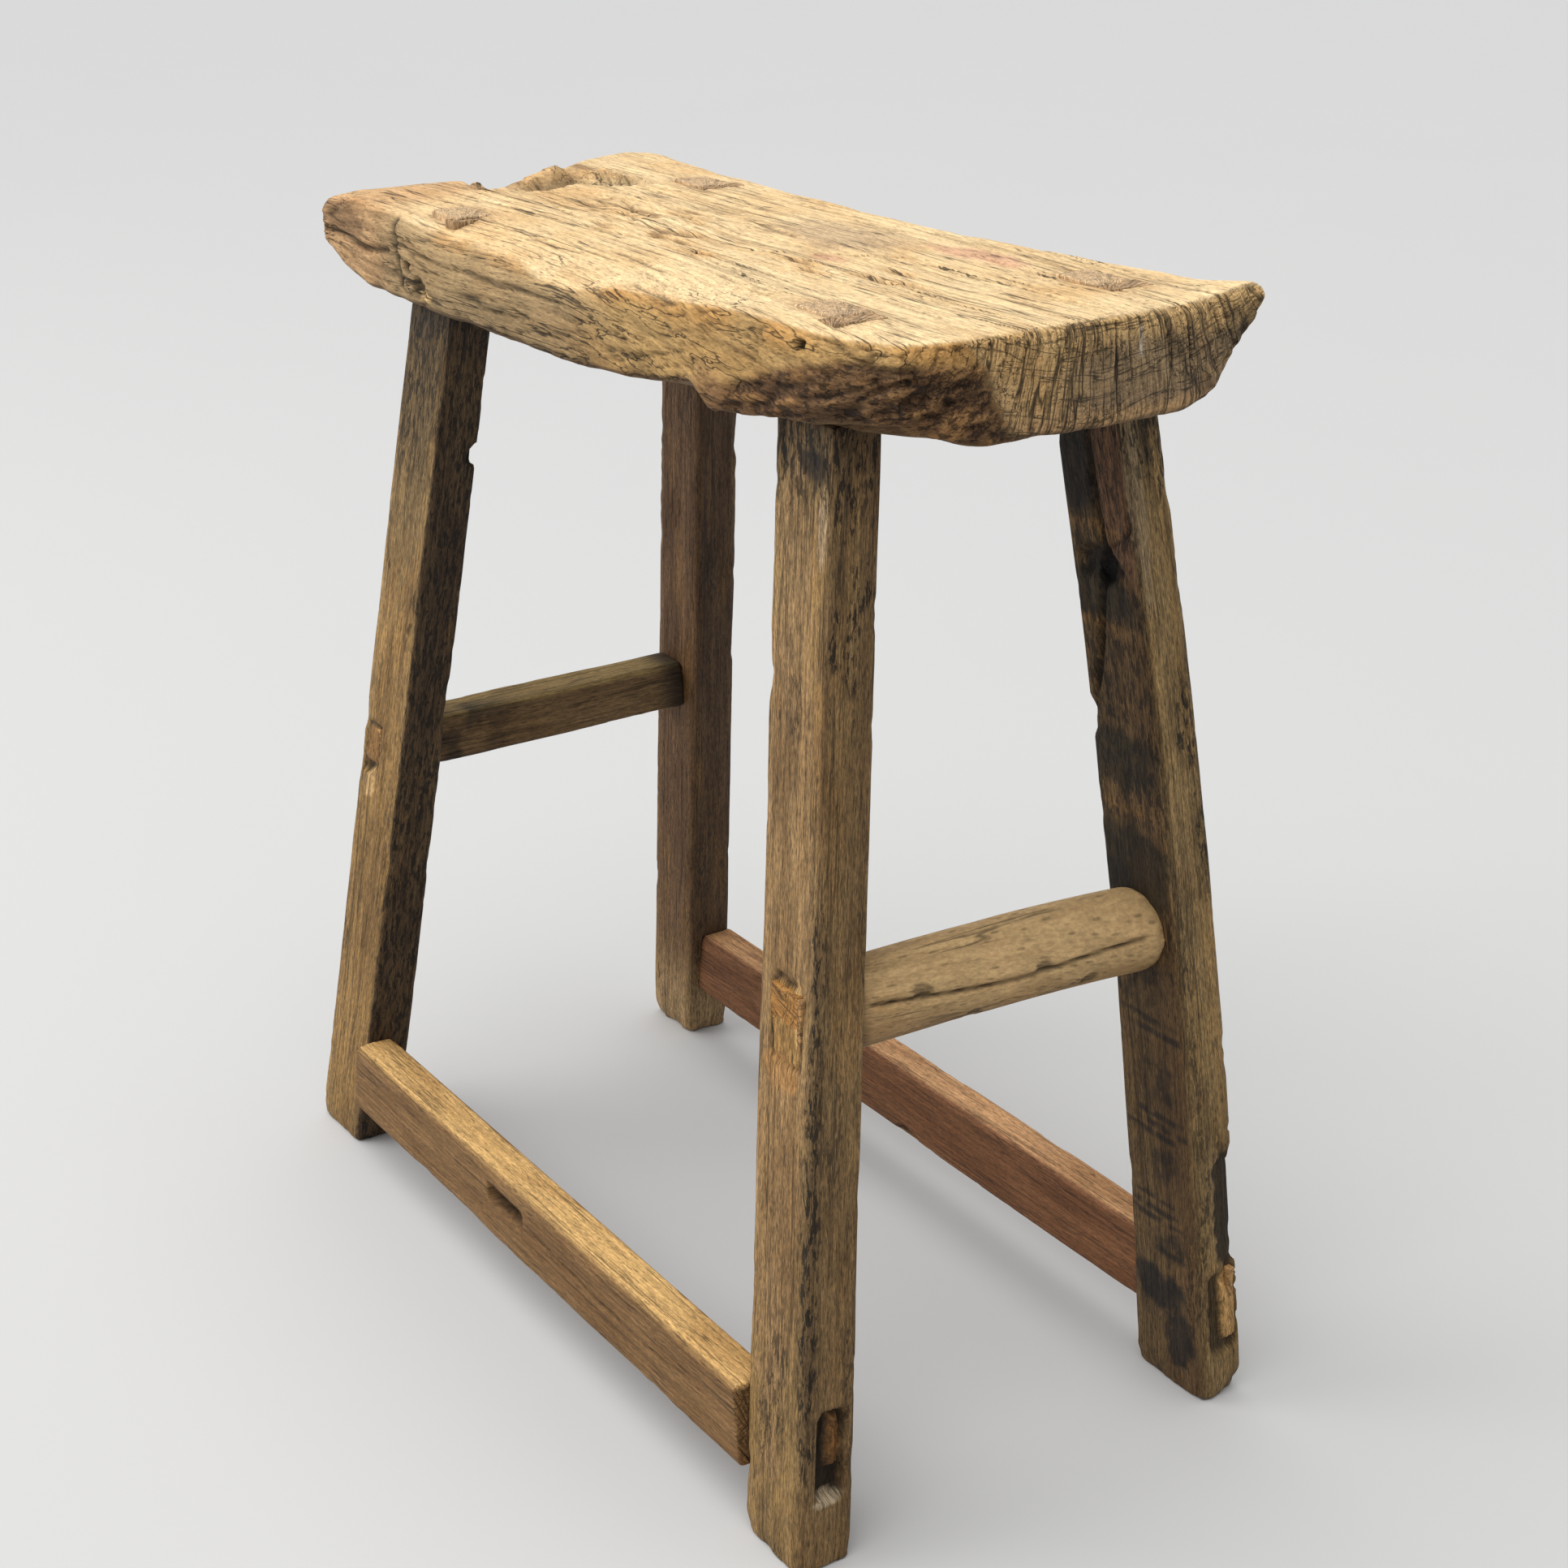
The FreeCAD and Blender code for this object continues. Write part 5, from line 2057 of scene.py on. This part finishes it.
@dataclass
class Rung:
    """The round rung at the right, swept along a slow curve."""

    node: str
    legs: tuple[Leg, Leg]
    thick: float = 38.0
    lift: float = 1.5
    level: float = 233.0
    tenon: Pair = (20.0, 30.0)
    seed: int = 81

    def tree(self, material: bpy.types.Material) -> Tree:
        """Build the tree of the rung: a round section swept along a curve.

        Args:
            material: The finish.

        Returns:
            The tree.
        """
        tree = Tree("turned_rung")
        start = tree.size("Start", "NodeSocketVector")
        middle = tree.size("Middle", "NodeSocketVector")
        stop = tree.size("Stop", "NodeSocketVector")
        radius = tree.size("Radius")
        path = tree.add(
            "GeometryNodeCurveQuadraticBezier",
            {"Resolution": 130, "Start": start, "Middle": middle, "End": stop},
        )
        section = tree.add("GeometryNodeCurvePrimitiveCircle", {"Resolution": 96, "Radius": radius})
        swept = tree.add(
            "GeometryNodeCurveToMesh",
            {"Curve": path.outputs[0], "Profile Curve": section.outputs[0], "Fill Caps": True},
        )
        tree.finish(swept.outputs[0], material)
        return tree

    def build(self) -> None:
        """Sweep the rung, wear it and write it."""
        material = RUNG_WOOD.material()
        front, back = self.legs
        first_x, first_y = front.middle(self.level)
        last_x, last_y = back.middle(self.level)
        start = np.array([first_x, first_y + front.deep / 2 - 1.5, self.level])
        stop = np.array([last_x - 4.0, last_y - back.deep / 2 + 1.5, self.level])
        middle = (start + stop) / 2 + np.array([0.0, 0.0, 2 * self.lift])
        mesh = self.tree(material).grow(
            {
                "Start": tuple(start * MM), "Middle": tuple(middle * MM), "Stop": tuple(stop * MM),
                "Radius": self.thick / 2 * MM,
            }
        )
        skin = skin_of(mesh, 1, (3.0, -5.0), paint(188, 158, 112))
        self.weather(skin, float(start[1]), float(stop[1]))
        pins = self.pins(start, stop)
        finished(joined([skin, pins]), f"{self.node}_round", material, self.node)

    def pins(self, start: Array, stop: Array) -> Skin:
        """Make the flat tenons that go through the legs.

        Args:
            start: Middle of the rung's near end.
            stop: Middle of its far end.

        Returns:
            Their skin.
        """
        low, high = (np.array(corner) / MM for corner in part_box(self.node))
        low[1], high[1] = low[1] + 2.5, high[1] - 2.5
        length = float(high[1] - low[1])
        blank = pin_blank(length, self.tenon[1], self.tenon[0])
        share = (low[1] + blank.station - start[1]) / (stop[1] - start[1])
        points = np.column_stack(
            [
                start[0] + (stop[0] - start[0]) * share + blank.v,
                low[1] + blank.station,
                self.level + blank.u,
            ]
        )
        return blank.skin(points, (24.0, -60.0), OCHRE)

    def weather(self, skin: Skin, near: float, far: float) -> None:
        """Wear the rung: flats, shoulders, the long check and the knots, with painted shade on its
        underside and at its near shoulder.

        Args:
            skin: The rung's skin.
            near: Its near end.
            far: Its far end.
        """
        run = skin.points[:, 1] - near
        length = far - near
        skin.push(0.7 * skin.clouds(46.0, self.seed, 2))
        skin.push(0.3 * skin.fibres(60.0, 3.0, self.seed + 3))
        away = np.minimum(run, length - run)
        skin.push(-1.2 * smooth(6.0, 0.0, away) * (1.0 + skin.clouds(9.0, self.seed + 5)))
        rise = skin.points[:, 2] - self.level
        side = Face(run, rise, smooth(-4, 4, skin.points[:, 0] - 190), 3)
        skin.colour(0.5 * smooth(0.0, 0.7, skin.fibres(60.0, 8.0, self.seed + 7)), paint(150, 112, 70))
        skin.colour(0.4 * smooth(0.1, 0.7, skin.clouds(30.0, self.seed + 9)), paint(214, 178, 128))
        # painted shade on the underside
        skin.shade(smooth(-2.0, -14.0, rise), 0.72)
        crack = side.line([(2, 8), (45, 4), (80, 2), (118, 4), (length - 8, 5)], 2.6, 0.05)
        skin.cut(crack, 3.0, 0.18)
        for place, across in ((30, 8), (92, 4), (118, -9), (60, -12)):
            skin.cut(side.spot(place, across, 4.5, 3, 0.4), 0.9, 0.45)
        # painted shadow at the near shoulder, against the front leg
        skin.shade(smooth(7.0, 0.0, run), 0.55)


# ---------------------------------------------------------------- studio


@dataclass
class Studio:
    """The floor, the soft lights and the camera."""

    heading: float = 54.617
    pitch: float = -22.84
    roll: float = 0.77
    lens: float = 57.37
    distance: float = 1.20726
    aim_right: float = 0.02589
    aim_up: float = -0.00799

    def build(self) -> None:
        """Set up everything round the stool."""
        low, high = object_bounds()
        self.middle = (low + high) / 2
        self.floor(low.z)
        self.camera()
        self.lamp("sky", "SUN", (-0.1, -0.25, 1.0), (0, 0, 0), 3.0, angle=math.radians(75))
        self.lamp("window", "AREA", (-1.3, -2.4, 1.5), (0, 0, 0.3), 34.0, size=1.8)
        world = bpy.data.worlds.new("soft_room")
        bpy.context.scene.world = world
        world.use_nodes = True
        background = world.node_tree.nodes["Background"]
        background.inputs[0].default_value = (0.86, 0.9, 0.95, 1)
        background.inputs[1].default_value = 0.55
        bpy.context.scene.view_settings.view_transform = "Standard"

    def floor(self, level: float) -> None:
        """Lay the floor.

        Args:
            level: Its height.
        """
        data = bpy.data.meshes.new("floor")
        half = FLOOR_HALF
        corners = [(x * half, y * half, level) for x, y in ((-1, -1), (1, -1), (1, 1), (-1, 1))]
        data.from_pydata(corners, [], [(0, 1, 2, 3)])
        data.materials.append(FloorFinish().material())
        linked("floor", data)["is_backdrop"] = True

    def camera(self) -> None:
        """Stand the camera where the stool is seen from its near corner, from above."""
        turn = Matrix.Rotation(math.radians(self.heading), 3, "Z")
        tilt = Matrix.Rotation(math.radians(90 + self.pitch), 3, "X")
        lean = Matrix.Rotation(math.radians(self.roll), 3, "Z")
        facing = turn @ tilt @ lean
        data = bpy.data.cameras.new("camera")
        data.lens = self.lens
        camera = linked("camera", data)
        offset = Vector((self.aim_right, self.aim_up, self.distance))
        camera.matrix_world = Matrix.Translation(self.middle + facing @ offset) @ facing.to_4x4()
        bpy.context.scene.camera = camera

    def lamp(
        self, name: str, kind: str, place: Triple, aim: Triple, power: float, **settings: float
    ) -> None:
        """Hang one soft light.

        Args:
            name: Its name.
            kind: SUN or AREA.
            place: Where it hangs.
            aim: What it faces.
            power: Its power.
            **settings: How broad it is: angle for a SUN, size for an AREA.
        """
        data = bpy.data.lights.new(name, kind)
        data.energy = power
        for key, value in settings.items():
            setattr(data, key, value)
        lamp = linked(name, data)
        lamp.location = place
        lamp.rotation_euler = (Vector(place) - Vector(aim)).to_track_quat("Z", "Y").to_euler()


WEDGES = {
    "head_wedge_front_left": Drive.DOWN,
    "head_wedge_back_left": Drive.DOWN,
    "head_wedge_front_right": Drive.DOWN,
    "head_wedge_back_right": Drive.DOWN,
    "wedge_front_left": Drive.RIGHT,
    "wedge_back_left": Drive.RIGHT,
    "wedge_back_right": Drive.LEFT,
    "wedge_left_front": Drive.BACKWARD,
    "wedge_left_back": Drive.FORWARD,
    "wedge_right_front": Drive.BACKWARD,
    "wedge_right_back": Drive.FORWARD,
}


def main() -> None:
    """Build the stool piece by piece, then the studio."""
    logging.basicConfig(level=logging.INFO, format="%(name)s: %(message)s")
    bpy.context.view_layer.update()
    board = Seat()
    front_left = FrontLeftLeg("leg_front_left", 44, 25, seed=3)
    back_left = BackLeftLeg("leg_back_left", 39, 27, seed=13, base=(104, 78, 52))
    front_right = FrontRightLeg("leg_front_right", 41, 27, seed=23)
    back_right = BackRightLeg("leg_back_right", 45, 25, bow=9.5, seed=33)
    legs = [front_left, back_left, front_right, back_right]
    board.build(legs)
    for leg in legs:
        leg.build(board)
    FrontRail(
        "stretcher_front", Run.ALONG_X, (front_left, front_right), 22, 39, (-115, 47),
        (12, 34, 30), seed=41, shift=(6, 0),
    ).build()
    BackRail(
        "stretcher_back", Run.ALONG_X, (back_left, back_right), 20, 38, (110, 51),
        (12, 34, 30), seed=51, shift=(1, 0),
    ).build()
    LeftRail(
        "stretcher_left", Run.ALONG_Y, (front_left, back_left), 26, 23, (236, -176.5),
        (20, 14, 18), seed=61, base=(110, 88, 58), shift=(0, -2.5),
    ).build()
    Rung("stretcher_right", (front_right, back_right)).build()
    finish = WEDGE_WOOD.material()
    for number, (name, drive) in enumerate(WEDGES.items()):
        top = None
        if drive is Drive.DOWN:
            low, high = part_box(name)
            x, y = (low.x + high.x) / 2 / MM, (low.y + high.y) / 2 / MM
            top = float(board.top_level(x, y)) + HEAD_PROUD
        base = (196, 164, 124) if drive is Drive.DOWN else (186, 146, 94)
        Wedge(name, drive, base, seed=101 + number, top=top).build(finish)
    Studio().build()


if __name__ == "__main__":
    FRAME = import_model()
    main()
